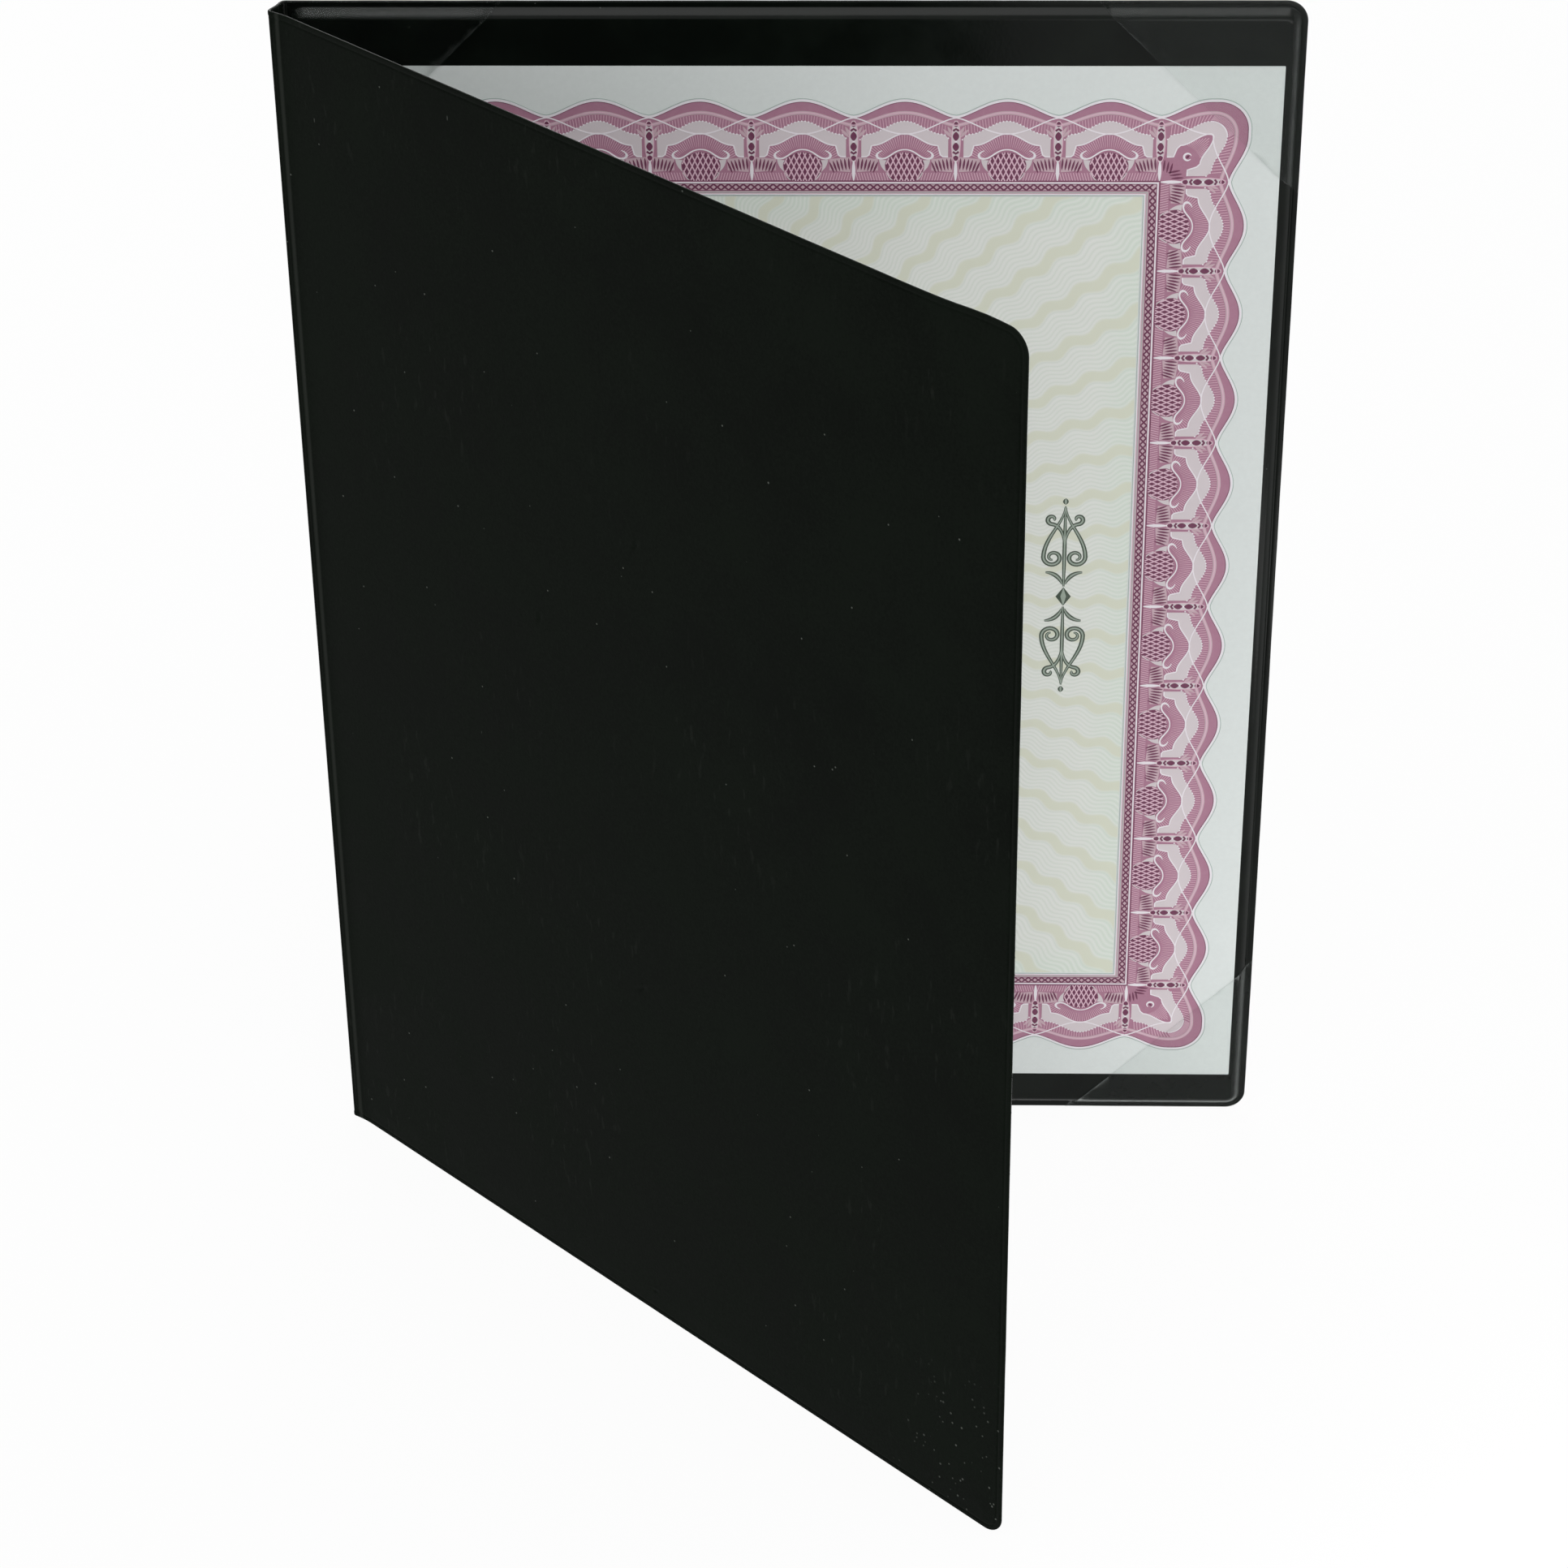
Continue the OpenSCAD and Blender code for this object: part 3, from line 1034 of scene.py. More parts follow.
class InkDrawing:
    """Flat plates of one ink, each a closed prism, drawn in millimetres on the sheet.

    Plates that cross lie on different layers, so that no two faces share a place.
    """

    step: float = 0.012
    tile_step: float = 0.0021
    layer_step: float = 0.0007
    sink: float = 0.003

    def __init__(self, level: int, tile: int = 0) -> None:
        """Start an empty drawing at an ink's level and a tile's place in the stack."""
        self.base = level * self.step + tile * self.tile_step
        self.points: list[tuple[float, float, float]] = []
        self.faces: list[tuple[int, ...]] = []

    def fill(self, first: np.ndarray, second: np.ndarray, layer: int = 0) -> None:
        """Fill the room between two lines with as many points.

        Args:
            first: Rows of X and Y of one line.
            second: Rows of X and Y of the other.
            layer: Steps up, for plates of the same ink that cross.
        """
        known: dict[tuple[float, float], int] = {}
        flat: list[tuple[float, float]] = []

        def number(point: np.ndarray) -> int:
            key = (round(float(point[0]), 5), round(float(point[1]), 5))
            if key not in known:
                known[key] = len(flat)
                flat.append(key)
            return known[key]

        pairs = [(number(a), number(b)) for a, b in zip(first, second)]
        base, count = len(self.points), len(flat)
        for height in (self.base + layer * self.layer_step, -self.sink):
            self.points += [(x, y, height) for x, y in flat]
        outline: dict[tuple[int, int], int] = {}
        for (a, b), (c, d) in zip(pairs, pairs[1:]):
            ring = tuple(dict.fromkeys((a, b, d, c)))
            if len(ring) < 3:
                continue
            self.faces.append(tuple(base + k for k in ring))
            self.faces.append(tuple(base + count + k for k in reversed(ring)))
            for start, end in zip(ring, ring[1:] + ring[:1]):
                key = (min(start, end), max(start, end))
                outline[key] = outline.get(key, 0) + 1
        for (start, end), uses in outline.items():
            if uses == 1:
                self.faces.append((base + start, base + end, base + count + end, base + count + start))

    def stroke(self, line: np.ndarray, width: float | np.ndarray, layer: int = 0) -> None:
        """Draw a line of ink.

        Args:
            line: Rows of X and Y.
            width: Its width, or one for each point.
            layer: Steps up, for plates of the same ink that cross.
        """
        along = np.gradient(line, axis=0)
        along /= np.maximum(np.linalg.norm(along, axis=1, keepdims=True), 1e-9)
        beside = np.stack([-along[:, 1], along[:, 0]], axis=1) * (np.asarray(width).reshape(-1, 1) / 2)
        self.fill(line + beside, line - beside, layer)

    def mesh(self, name: str) -> bpy.types.Object:
        """Turn the drawing into an object in metres, lying in the XY plane."""
        points = np.array(self.points or np.zeros((0, 3)), float) * MM
        return make_piece(name, points.reshape(-1, 3), self.faces, [], smooth=False)


def turned(line: np.ndarray, angle: float, shift: tuple[float, float] = (0.0, 0.0)) -> np.ndarray:
    """Turn a line clockwise about the origin, then move it."""
    spin = np.array([[math.cos(angle), -math.sin(angle)], [math.sin(angle), math.cos(angle)]])
    return line @ spin + np.array(shift)


def ray_line(start: float, end: float, count: int) -> np.ndarray:
    """Give a straight line out along Y."""
    return np.linspace([0.0, start], [0.0, end], count)


def bend(*handles: tuple[float, float], count: int = 19) -> np.ndarray:
    """Curve of the third degree through its first and last handle.

    Args:
        handles: Four places, in millimetres.
        count: Points along it.

    Returns:
        Rows of X and Y.
    """
    t = np.linspace(0.0, 1.0, count)[:, None]
    a, b, c, d = (np.array(handle) for handle in handles)
    return (1 - t) ** 3 * a + 3 * t * (1 - t) ** 2 * b + 3 * t**2 * (1 - t) * c + t**3 * d


def leaf_width(count: int, widest: float, tip: float = 0.04) -> np.ndarray:
    """Widths of a stroke that swells in its middle."""
    return tip + widest * np.sin(np.pi * np.linspace(0.0, 1.0, count)) ** 0.8


@dataclass(frozen=True)
class Wave:
    """A line that runs along the scallops: its height at the bars, and its rise to their middles."""

    low: float
    rise: float

    def __call__(self, share: np.ndarray) -> np.ndarray:
        """Height at a share of the way from a scallop's middle to its bar."""
        return self.low + self.rise * np.cos(np.pi / 2 * np.clip(share, 0.0, 1.0)) ** 1.5


@dataclass(frozen=True)
class RibbonEdge:
    """One edge of the pale ribbon: a crown over the seed, a shoulder, and a foot beside the bar."""

    shoulder: float
    crown: float
    crown_share: float
    foot: float
    foot_from: float
    foot_reach: float

    def __call__(self, share: np.ndarray) -> np.ndarray:
        """Height at a share of the way from a scallop's middle to its bar."""
        crown = np.cos(np.pi / 2 * np.clip(share / self.crown_share, 0.0, 1.0)) ** 2
        drop = ease((share - self.foot_from) / self.foot_reach)
        return self.shoulder + self.crown * crown - self.foot * drop


@dataclass(frozen=True)
class Seed:
    """A crosshatched seed that stands on its flat foot and points along Y."""

    length: float
    half_w: float
    widest: float = 0.59
    hatch_pitch: float = 1.2
    hatch_lean: float = 0.45
    hatch_w: float = 0.3

    def reach(self, y: np.ndarray) -> np.ndarray:
        """Half its width at each height."""
        share = np.clip(y / self.length, 0.0, 1.0)
        below = np.sqrt(1.0 - (np.clip(self.widest - share, 0.0, None) / (1.2 * self.widest)) ** 2)
        above = (1.0 - (np.clip(share - self.widest, 0.0, None) / (1.0 - self.widest)) ** 2) ** 0.7
        return self.half_w * below * above

    def side(self, way: float, beside: float = 0.0, low: float = 0.0, high: float = 1.0) -> np.ndarray:
        """Line of one flank, or of a line beside it, between two shares of the height."""
        y = self.length * (1.0 - (1.0 - np.linspace(low, high, 19)) ** 1.4)
        return np.stack([way * (self.reach(y) + beside), y], axis=1)

    def hatch(self) -> list[tuple[int, np.ndarray]]:
        """List the crossing lines inside it, each with its layer."""
        found = []
        y = np.linspace(0.0, self.length, 60)
        for layer, lean in enumerate((self.hatch_lean, -self.hatch_lean)):
            for start in np.arange(-1.6 * self.half_w, 1.61 * self.half_w, self.hatch_pitch):
                x = start + lean * (y - self.length / 2)
                inside = np.abs(x) < self.reach(y) - 0.1
                if inside.sum() >= 4:
                    ends = [x[inside][0], y[inside][0]], [x[inside][-1], y[inside][-1]]
                    found.append((layer, np.linspace(*ends, 5)))
        return found


@dataclass
class BorderPrint:
    """Scalloped border in fine line work, as on security paper.

    Sizes are in millimetres. The border stands round a rectangle, the outer edge of its lattice band, and
    distances outwards are counted from there.
    """

    rect_w: float
    rect_h: float
    periods_w: int = 7
    periods_h: int = 10
    ground_from: float = 0.15
    edge: Wave = Wave(15.55, 4.0)
    arch: Wave = Wave(13.9, 3.05)
    crossing: Wave = Wave(15.7, -3.95)
    ribbon_in: RibbonEdge = RibbonEdge(9.0, 2.85, 0.62, 2.8, 0.64, 0.08)
    ribbon_out: RibbonEdge = RibbonEdge(11.7, 3.2, 0.75, 1.9, 0.75, 0.2)
    seed: Seed = Seed(7.1, 4.2)
    corner_ring: float = 6.2
    corner_ring_r: float = 0.85
    band_w: float = 3.6
    bead_pitch: float = 1.69
    lattice_low: float = 0.6
    lattice_high: float = 2.08
    drawings: dict[tuple[Tile, Ink], InkDrawing] = field(default_factory=dict)

    @property
    def pitch(self) -> float:
        """Length of one scallop on the long side."""
        return self.rect_h / self.periods_h

    def ink(self, tile: Tile, ink: Ink) -> InkDrawing:
        """Get the drawing of one ink on one tile, and start it if it is new."""
        return self.drawings.setdefault((tile, ink), InkDrawing(ink.value[0], int(tile)))

    def share(self, x: np.ndarray | float) -> np.ndarray:
        """Turn places along a scallop into shares of the way from its middle to its bar."""
        return np.abs(2 * np.asarray(x, float) / self.pitch)

    def line(self, curve: Callable, beside: float = 0.0, count: int = 41) -> np.ndarray:
        """Line beside a curve, all along one scallop."""
        x = np.linspace(-self.pitch / 2, self.pitch / 2, count)
        return np.stack([x, curve(self.share(x)) + beside], axis=1)

    def lobe(self, curve: Callable, beside: float = 0.0, middle: float | None = None) -> np.ndarray:
        """Line beside a curve that turns the corner, from one side's bar to the other's.

        Args:
            curve: Height at a share of the way from a scallop's middle to its bar.
            beside: How far outside the curve it lies.
            middle: Distance of the arc's centre from both bars.

        Returns:
            Rows of X and Y from the lattice's corner.
        """
        centre = self.pitch / 2 if middle is None else middle
        x = np.linspace(0.0, centre, 16)
        flank = np.stack([x, curve(np.clip(1.0 - self.share(x), 0.0, 1.0)) + beside], axis=1)
        radius = max(float(curve(np.zeros(1))[0]) + beside - centre, 0.2)
        angle = np.linspace(np.pi / 2, 0.0, 21)
        arc = centre + radius * np.stack([np.cos(angle), np.sin(angle)], axis=1)
        return np.concatenate([flank[:-1], arc, flank[::-1][1:, ::-1]])

    def draw_waves(self, tile: Tile, trace: Callable, short: int) -> None:
        """Draw the bands that run along the scallops and round the corners.

        Args:
            tile: The tile that they belong to.
            trace: Gives a line on that tile from a curve and a distance beside it.
            short: Points of the line by which the ribbon ends short of each bar.
        """
        for ink, curve, low, high in (
            (Ink.PLUM, self.edge, -0.06, 0.09), (Ink.WHITE, self.edge, 0.09, 0.6),
            (Ink.GREY, self.edge, 0.76, 0.9), (Ink.BLUSH, self.arch, -0.42, 0.42),
            (Ink.PINK, self.arch, -0.12, 0.16),
        ):
            self.ink(tile, ink).fill(trace(curve, low), trace(curve, high))
        inner, outer = (trace(curve, 0.0)[short:-short] for curve in (self.ribbon_in, self.ribbon_out))
        self.ink(tile, Ink.PALE).fill(inner, outer)
        self.ink(tile, Ink.WHITE).stroke(inner, 0.3, layer=2)

    def draw_rays(self, tile: Tile, foot: tuple[float, float], turn: float, start: float,
                  rays: Iterable[tuple[float, float]]) -> None:
        """Draw a fan of pale rays.

        Args:
            tile: The tile that it belongs to.
            foot: The fan's centre.
            turn: Direction of its middle from Y, clockwise, in radians.
            start: Distance at which the rays start.
            rays: Angle from the middle, and length from the centre, of each.
        """
        for angle, end in rays:
            if end - start > 0.5:
                line = turned(ray_line(start, end, 3), turn + angle, foot)
                self.ink(tile, Ink.PINK).stroke(line, np.array([0.05, 0.1, 0.14]))

    def draw_seed(self, tile: Tile, seed: Seed, foot: tuple[float, float], turn: float) -> None:
        """Draw a seed: its dark ground and the lines that cross on it."""
        ground = [turned(seed.side(way), turn, foot) for way in (1.0, -1.0)]
        self.ink(tile, Ink.PLUM).fill(*ground)
        for layer, line in seed.hatch():
            self.ink(tile, Ink.PINK).stroke(turned(line, turn, foot), seed.hatch_w, layer)

    def draw_side(self) -> None:
        """Draw one scallop of the long side."""
        half = self.pitch / 2
        tile = Tile.SIDE
        floor = self.line(self.edge)
        floor[:, 1] = self.ground_from
        self.ink(tile, Ink.MAUVE).fill(floor, self.line(self.edge))
        self.draw_waves(tile, self.line, 3)
        self.ink(tile, Ink.WHITE).stroke(self.line(self.crossing), 0.28, layer=3)

        for place in np.arange(-half + 2.0, half - 1.9, 0.62):
            share = self.share(place)
            low, high = float(self.ribbon_out(share)) + 0.3, float(self.arch(share)) - 0.55
            if high - low > 0.4:
                lean = 0.25 * math.sin(2 * math.pi * place / self.pitch)
                hatch = np.linspace([place - lean, low], [place, high], 3)
                self.ink(tile, Ink.PINK).stroke(hatch, 0.12)
        for place in np.arange(-half + 1.4, half - 1.3, 0.74):
            top = float(self.ribbon_out(self.share(place)))
            dot = np.linspace([place, top - 0.2], [place, top + 0.2], 3)
            self.ink(tile, Ink.WHITE).stroke(dot, np.array([0.12, 0.38, 0.12]), layer=1)

        self.draw_seed(tile, self.seed, (0.0, 0.25), 0.0)
        self.draw_rays(tile, (0.0, 2.2), 0.0, 6.3, self.ray_ends())
        for way in (-1.0, 1.0):
            self.draw_side_flank(way)

    def ray_ends(self) -> list[tuple[float, float]]:
        """Work out where the rays over a seed reach the ribbon."""
        found = []
        reach = np.linspace(5.0, 13.0, 120)
        for angle in np.linspace(-1.05, 1.05, 35):
            line = turned(np.stack([np.zeros(120), reach], axis=1), angle, (0.0, 2.2))
            under = line[:, 1] < self.ribbon_in(self.share(line[:, 0])) - 0.3
            clear = under & (self.share(line[:, 0]) < 0.8)
            stop = int(np.argmin(clear)) if not clear.all() else len(clear)
            found.append((angle, float(reach[stop - 1]) if stop else 0.0))
        return found

    def draw_side_flank(self, way: float) -> None:
        """Draw what stands between a seed and the bar on one side of it.

        Args:
            way: 1 or -1, for the side.
        """
        half, tile = self.pitch / 2, Tile.SIDE
        side = np.array([way, 1.0])
        over = bend((0.0, 7.95), (2.4, 7.95), (3.2, 5.8), (4.9, 5.7))
        curled = bend((4.9, 5.7), (6.3, 5.65), (6.7, 7.0), (4.9, 7.7))
        scroll = np.concatenate([over[:-1], curled]) * side
        swell = np.interp(np.linspace(0.0, 1.0, len(scroll)), (0.0, 0.5, 0.75, 1.0), (0.26, 0.38, 0.6, 0.14))
        self.ink(tile, Ink.WHITE).stroke(scroll, swell, layer=3)
        wing = bend((2.3, 0.35), (3.6, 2.6), (5.2, 2.6), (5.6, 5.5)) * side
        self.ink(tile, Ink.PALE).fill(self.seed.side(way, 0.12, 0.05, 0.62), wing, layer=1)

        edges = ((2.4, 2.8), (6.1, 5.6))
        fan = [np.linspace([half - 0.7, low], [half - 5.3, high], 5) for low, high in edges]
        self.ink(tile, Ink.BLUSH).fill(*(line * side for line in fan))
        for offset in np.linspace(1.0, 5.1, 6):
            leaf = turned(ray_line(12.0, 14.9, 9), -way * math.atan2(offset, 13.4), (way * half, -9.0))
            self.ink(tile, Ink.PLUM).stroke(leaf, leaf_width(9, 0.4, 0.06))
        for angle in (0.18, 0.46, 0.74):
            leaf = turned(ray_line(1.3, 4.1, 9), -way * angle, (way * half, 9.9))
            self.ink(tile, Ink.BLUSH).stroke(leaf, leaf_width(9, 0.6, 0.06))
        for place in np.arange(3.6, half - 0.7, 0.6):
            hatch = np.linspace([way * place, 0.35], [way * (place + 0.5), 2.2], 3)
            self.ink(tile, Ink.PINK).stroke(hatch, 0.15)

    def draw_bar(self) -> None:
        """Draw the beaded bar between two scallops, with its foot line and its outline."""
        tile = Tile.BAR
        pale, plum, pink, white = (self.ink(tile, ink) for ink in (Ink.PALE, Ink.PLUM, Ink.PINK, Ink.WHITE))
        share = np.linspace(0.0, 1.0, 15)
        reach = 0.25 + 0.75 * np.sin(np.pi * share) ** 0.5
        body = 4.9 + 10.1 * share
        pale.fill(np.stack([-reach, body], axis=1), np.stack([reach, body], axis=1))
        for way in (-1.0, 1.0):
            pink.stroke(np.stack([way * reach, body], axis=1), 0.2, layer=1)
        for start, end, widest in ((5.2, 6.5, 1.2), (7.6, 9.7, 1.3), (10.1, 12.3, 1.3), (13.5, 14.8, 1.1)):
            plum.stroke(ray_line(start, end, 9), leaf_width(9, widest, 0.15))
        for middle, way in ((7.1, -1.0), (12.85, 1.0)):
            tail, tip = middle - way * 0.32, middle + way * 0.16
            plum.stroke(np.array([[-0.66, tail], [0.0, tip], [0.66, tail]]), 0.52)
        white.stroke(ray_line(9.65, 10.15, 5), leaf_width(5, 0.5, 0.05))
        white.stroke(ray_line(0.3, 5.2, 9), leaf_width(9, 0.6, 0.2))

    def draw_corner(self) -> None:
        """Draw the lobe that turns the corner."""
        tile = Tile.CORNER

        def trace(curve: Callable, beside: float) -> np.ndarray:
            top = float(curve(np.zeros(1))[0])
            return self.lobe(curve, beside, np.interp(top, (15.0, 19.0), (self.pitch / 2, 12.8)))

        outline = trace(self.edge, 0.0)
        self.ink(tile, Ink.MAUVE).fill(outline, np.full_like(outline, self.ground_from))
        self.draw_waves(tile, trace, 2)
        self.ink(tile, Ink.WHITE).stroke(trace(self.crossing, 0.0), 0.28, layer=3)
        inner, outer = trace(self.ribbon_out, 0.3), trace(self.arch, -0.55)
        for low, high in zip(inner[3:-3], outer[3:-3]):
            if np.linalg.norm(high - low) > 0.4:
                self.ink(tile, Ink.PINK).stroke(np.linspace(low, high, 3), 0.15)
        rim = trace(self.ribbon_out, 0.0)
        for dot in rim[2:-2]:
            self.ink(tile, Ink.WHITE).stroke(
                np.linspace(dot - [0.19, 0.0], dot + [0.19, 0.0], 3), np.array([0.1, 0.36, 0.1]), layer=1
            )
        diagonal = math.pi / 4
        spin = np.linspace(0.3, 1.8 * math.pi, 19)
        hoop = self.corner_ring + self.corner_ring_r * np.stack([np.cos(spin), np.sin(spin)], axis=1)
        self.ink(tile, Ink.WHITE).stroke(hoop, leaf_width(19, 0.36, 0.12), layer=1)
        eye = self.corner_ring + np.linspace([-0.35, -0.35], [0.35, 0.35], 7)
        self.ink(tile, Ink.PLUM).stroke(eye, leaf_width(7, 0.5, 0.1), layer=2)
        ends = [
            (angle, float(np.interp(abs(angle), (0.0, 0.4, 0.8), (8.8, 5.3, 4.1))))
            for angle in np.linspace(-0.7, 0.7, 25)
        ]
        self.draw_rays(tile, (4.6, 4.6), diagonal, 4.5, ends)
        for way in (-1.0, 1.0):
            for offset in (1.0, 1.9, 2.8):
                foot = (0.0, -9.0) if way < 0 else (-9.0, 0.0)
                turn = diagonal + way * (diagonal - math.atan2(offset, 13.4))
                leaf = turned(ray_line(12.0 - 0.3 * offset, 14.8 - 0.3 * offset, 9), turn, foot)
                self.ink(tile, Ink.PLUM).stroke(leaf, leaf_width(9, 0.4, 0.06), layer=1)

    def draw_bead(self) -> None:
        """Draw one crossing of the lattice band."""
        half_x, half_y = self.bead_pitch / 2, (self.lattice_high - self.lattice_low) / 2
        for layer, way in enumerate((-1.0, 1.0)):
            line = np.linspace([-half_x, -way * half_y], [half_x, way * half_y], 3)
            self.ink(Tile.BEAD, Ink.PLUM).stroke(line, 0.4, layer)

    def ring(self, ink: Ink, outer: float, inner: float) -> None:
        """Draw a mitred rectangle between two insets from the lattice's outer edge."""
        loops = []
        for inset in (outer, inner):
            x, y = self.rect_w / 2 - inset, self.rect_h / 2 - inset
            loops.append(np.array([[-x, -y], [x, -y], [x, y], [-x, y], [-x, -y]]))
        self.ink(Tile.RING, ink).fill(*loops)

    def draw_rings(self) -> None:
        """Draw the lines and the grounds of the lattice band."""
        for ink, outer, inner in (
            (Ink.MAUVE, -self.ground_from, 2.3), (Ink.PLUM, -0.3, -0.1), (Ink.WHITE, 0.08, 0.42),
            (Ink.PLUM, 0.48, 0.6), (Ink.BLUSH, self.lattice_low, self.lattice_high), (Ink.PLUM, 2.08, 2.22),
            (Ink.BLUSH, 2.3, 2.98), (Ink.GREY, 2.54, 2.66), (Ink.WHITE, 2.98, 3.2), (Ink.GREY, 3.36, 3.46),
        ):
            self.ring(ink, outer, inner)

    def places(self) -> list[tuple[Tile, float, float, float, float]]:
        """List where every tile goes.

        Returns:
            Tile, X, Y, turn and stretch along the side, for each.
        """
        found = [(Tile.RING, 0.0, 0.0, 0.0, 1.0)]
        half_w, half_h = self.rect_w / 2, self.rect_h / 2
        lattice = (self.lattice_low + self.lattice_high) / 2
        for quarter in range(4):
            long_side = quarter % 2 == 1
            length, out = (self.rect_h, half_w) if long_side else (self.rect_w, half_h)
            count = self.periods_h if long_side else self.periods_w
            turn = -quarter * math.pi / 2
            along = np.array([math.cos(turn), math.sin(turn)])
            away = np.array([-math.sin(turn), math.cos(turn)])
            stretch = length / count / self.pitch
            for index in range(count):
                spot = along * (-length / 2 + (index + 0.5) * length / count) + away * out
                found.append((Tile.SIDE, spot[0], spot[1], turn, stretch))
            for index in range(count + 1):
                spot = along * (-length / 2 + index * length / count) + away * out
                found.append((Tile.BAR, spot[0], spot[1], turn, 1.0))
            spot = along * length / 2 + away * out
            found.append((Tile.CORNER, spot[0], spot[1], turn, 1.0))
            run = length - 2 * lattice
            beads = round(run / self.bead_pitch)
            for index in range(beads):
                spot = along * (-run / 2 + (index + 0.5) * run / beads) + away * (out - lattice)
                found.append((Tile.BEAD, spot[0], spot[1], turn, run / beads / self.bead_pitch))
        return found

    def draw(self) -> None:
        """Draw every tile."""
        self.draw_side()
        self.draw_bar()
        self.draw_corner()
        self.draw_bead()
        self.draw_rings()


def settle(piece: bpy.types.Object, name: str) -> bpy.types.Object:
    """Turn an object and its Geometry Nodes into one plain mesh object, and remove the first.

    Args:
        piece: The object with the modifier.
        name: The new object's name.

    Returns:
        The plain object.
    """
    bpy.context.view_layer.update()
    graph = bpy.context.evaluated_depsgraph_get()
    mesh = bpy.data.meshes.new_from_object(piece.evaluated_get(graph))
    mesh.name = name
    made = bpy.data.objects.new(name, mesh)
    bpy.context.scene.collection.objects.link(made)
    drop(piece)
    return made


def drop(piece: bpy.types.Object) -> None:
    """Remove an object and its mesh."""
    mesh = piece.data
    bpy.data.objects.remove(piece)
    bpy.data.meshes.remove(mesh)


class Repeater(Wiring):
    """A Geometry Nodes tree that sets pieces on the points of a mesh, and ends in plain geometry."""

    def __init__(self, name: str, sockets: dict[str, str]) -> None:
        """Start a tree.

        Args:
            name: The tree's name.
            sockets: Socket type of each named input.
        """
        tree = bpy.data.node_groups.new(name, "GeometryNodeTree")
        super().__init__(tree)
        tree.interface.new_socket("Geometry", in_out="INPUT", socket_type="NodeSocketGeometry")
        tree.interface.new_socket("Geometry", in_out="OUTPUT", socket_type="NodeSocketGeometry")
        self.keys = {
            label: tree.interface.new_socket(label, in_out="INPUT", socket_type=kind).identifier
            for label, kind in sockets.items()
        }
        self.given = self.node("NodeGroupInput").outputs
        self.result = self.node("NodeGroupOutput")

    def close(self, geometry: bpy.types.NodeSocket, material: bpy.types.NodeSocket) -> None:
        """Realize what the tree made, give it its material and hand it out."""
        real = self.node("GeometryNodeRealizeInstances", {0: geometry})
        dressed = self.node("GeometryNodeSetMaterial", {"Geometry": real.outputs[0], "Material": material})
        self.feed(dressed.outputs[0], self.result.inputs[0])

    def run(self, piece: bpy.types.Object, name: str, **values) -> bpy.types.Object:
        """Run the tree on an object and return the plain result.

        Args:
            piece: The object whose points carry the pieces.
            name: The result's name.
            values: Values of the named inputs, with underscores for spaces.

        Returns:
            The plain object.
        """
        modifier = piece.modifiers.new(self.tree.name, "NODES")
        modifier.node_group = self.tree
        for label, value in values.items():
            modifier[self.keys[label.replace("_", " ")]] = value
        return settle(piece, name)


def tile_repeater() -> Repeater:
    """Build the tree that sets the border's tiles round the sheet."""
    sockets = {tile.name.title(): "NodeSocketObject" for tile in Tile}
    tree = Repeater("border_tiles", {**sockets, "Ink": "NodeSocketMaterial"})
    kind = tree.node("GeometryNodeInputNamedAttribute", {"Name": "tile"}, data_type="INT").outputs[0]
    turn = tree.node("GeometryNodeInputNamedAttribute", {"Name": "turn"}, data_type="FLOAT").outputs[0]
    stretch = tree.node("GeometryNodeInputNamedAttribute", {"Name": "stretch"}, data_type="FLOAT").outputs[0]
    euler = tree.node("ShaderNodeCombineXYZ", {"Z": turn}).outputs[0]
    spin = tree.node("FunctionNodeEulerToRotation", {0: euler}).outputs[0]
    scale = tree.node("ShaderNodeCombineXYZ", {"X": stretch, "Y": 1.0, "Z": 1.0}).outputs[0]
    joined = tree.node("GeometryNodeJoinGeometry")
    for tile in Tile:
        chosen = tree.node(
            "FunctionNodeCompare", {2: kind, 3: int(tile)}, data_type="INT", operation="EQUAL"
        ).outputs[0]
        source = tree.node("GeometryNodeObjectInfo", {0: tree.given[tile.name.title()]})
        inputs = {
            "Points": tree.given[0], "Selection": chosen, "Instance": source.outputs["Geometry"],
            "Rotation": spin, "Scale": scale,
        }
        placed = tree.node("GeometryNodeInstanceOnPoints", inputs)
        tree.feed(placed.outputs[0], joined.inputs[0])
    tree.close(joined.outputs[0], tree.given["Ink"])
    return tree


def curl(centre: tuple[float, float], sizes: tuple[float, float], angles: tuple[float, float]) -> np.ndarray:
    """Spiral between two radii and two angles.

    Args:
        centre: Its middle.
        sizes: Radius at its start and at its end.
        angles: Angle at its start and at its end, in radians.

    Returns:
        Rows of X and Y.
    """
    angle, size = np.linspace(*angles, 29), np.linspace(*sizes, 29)
    return np.array(centre) + np.stack([size * np.cos(angle), size * np.sin(angle)], axis=1)


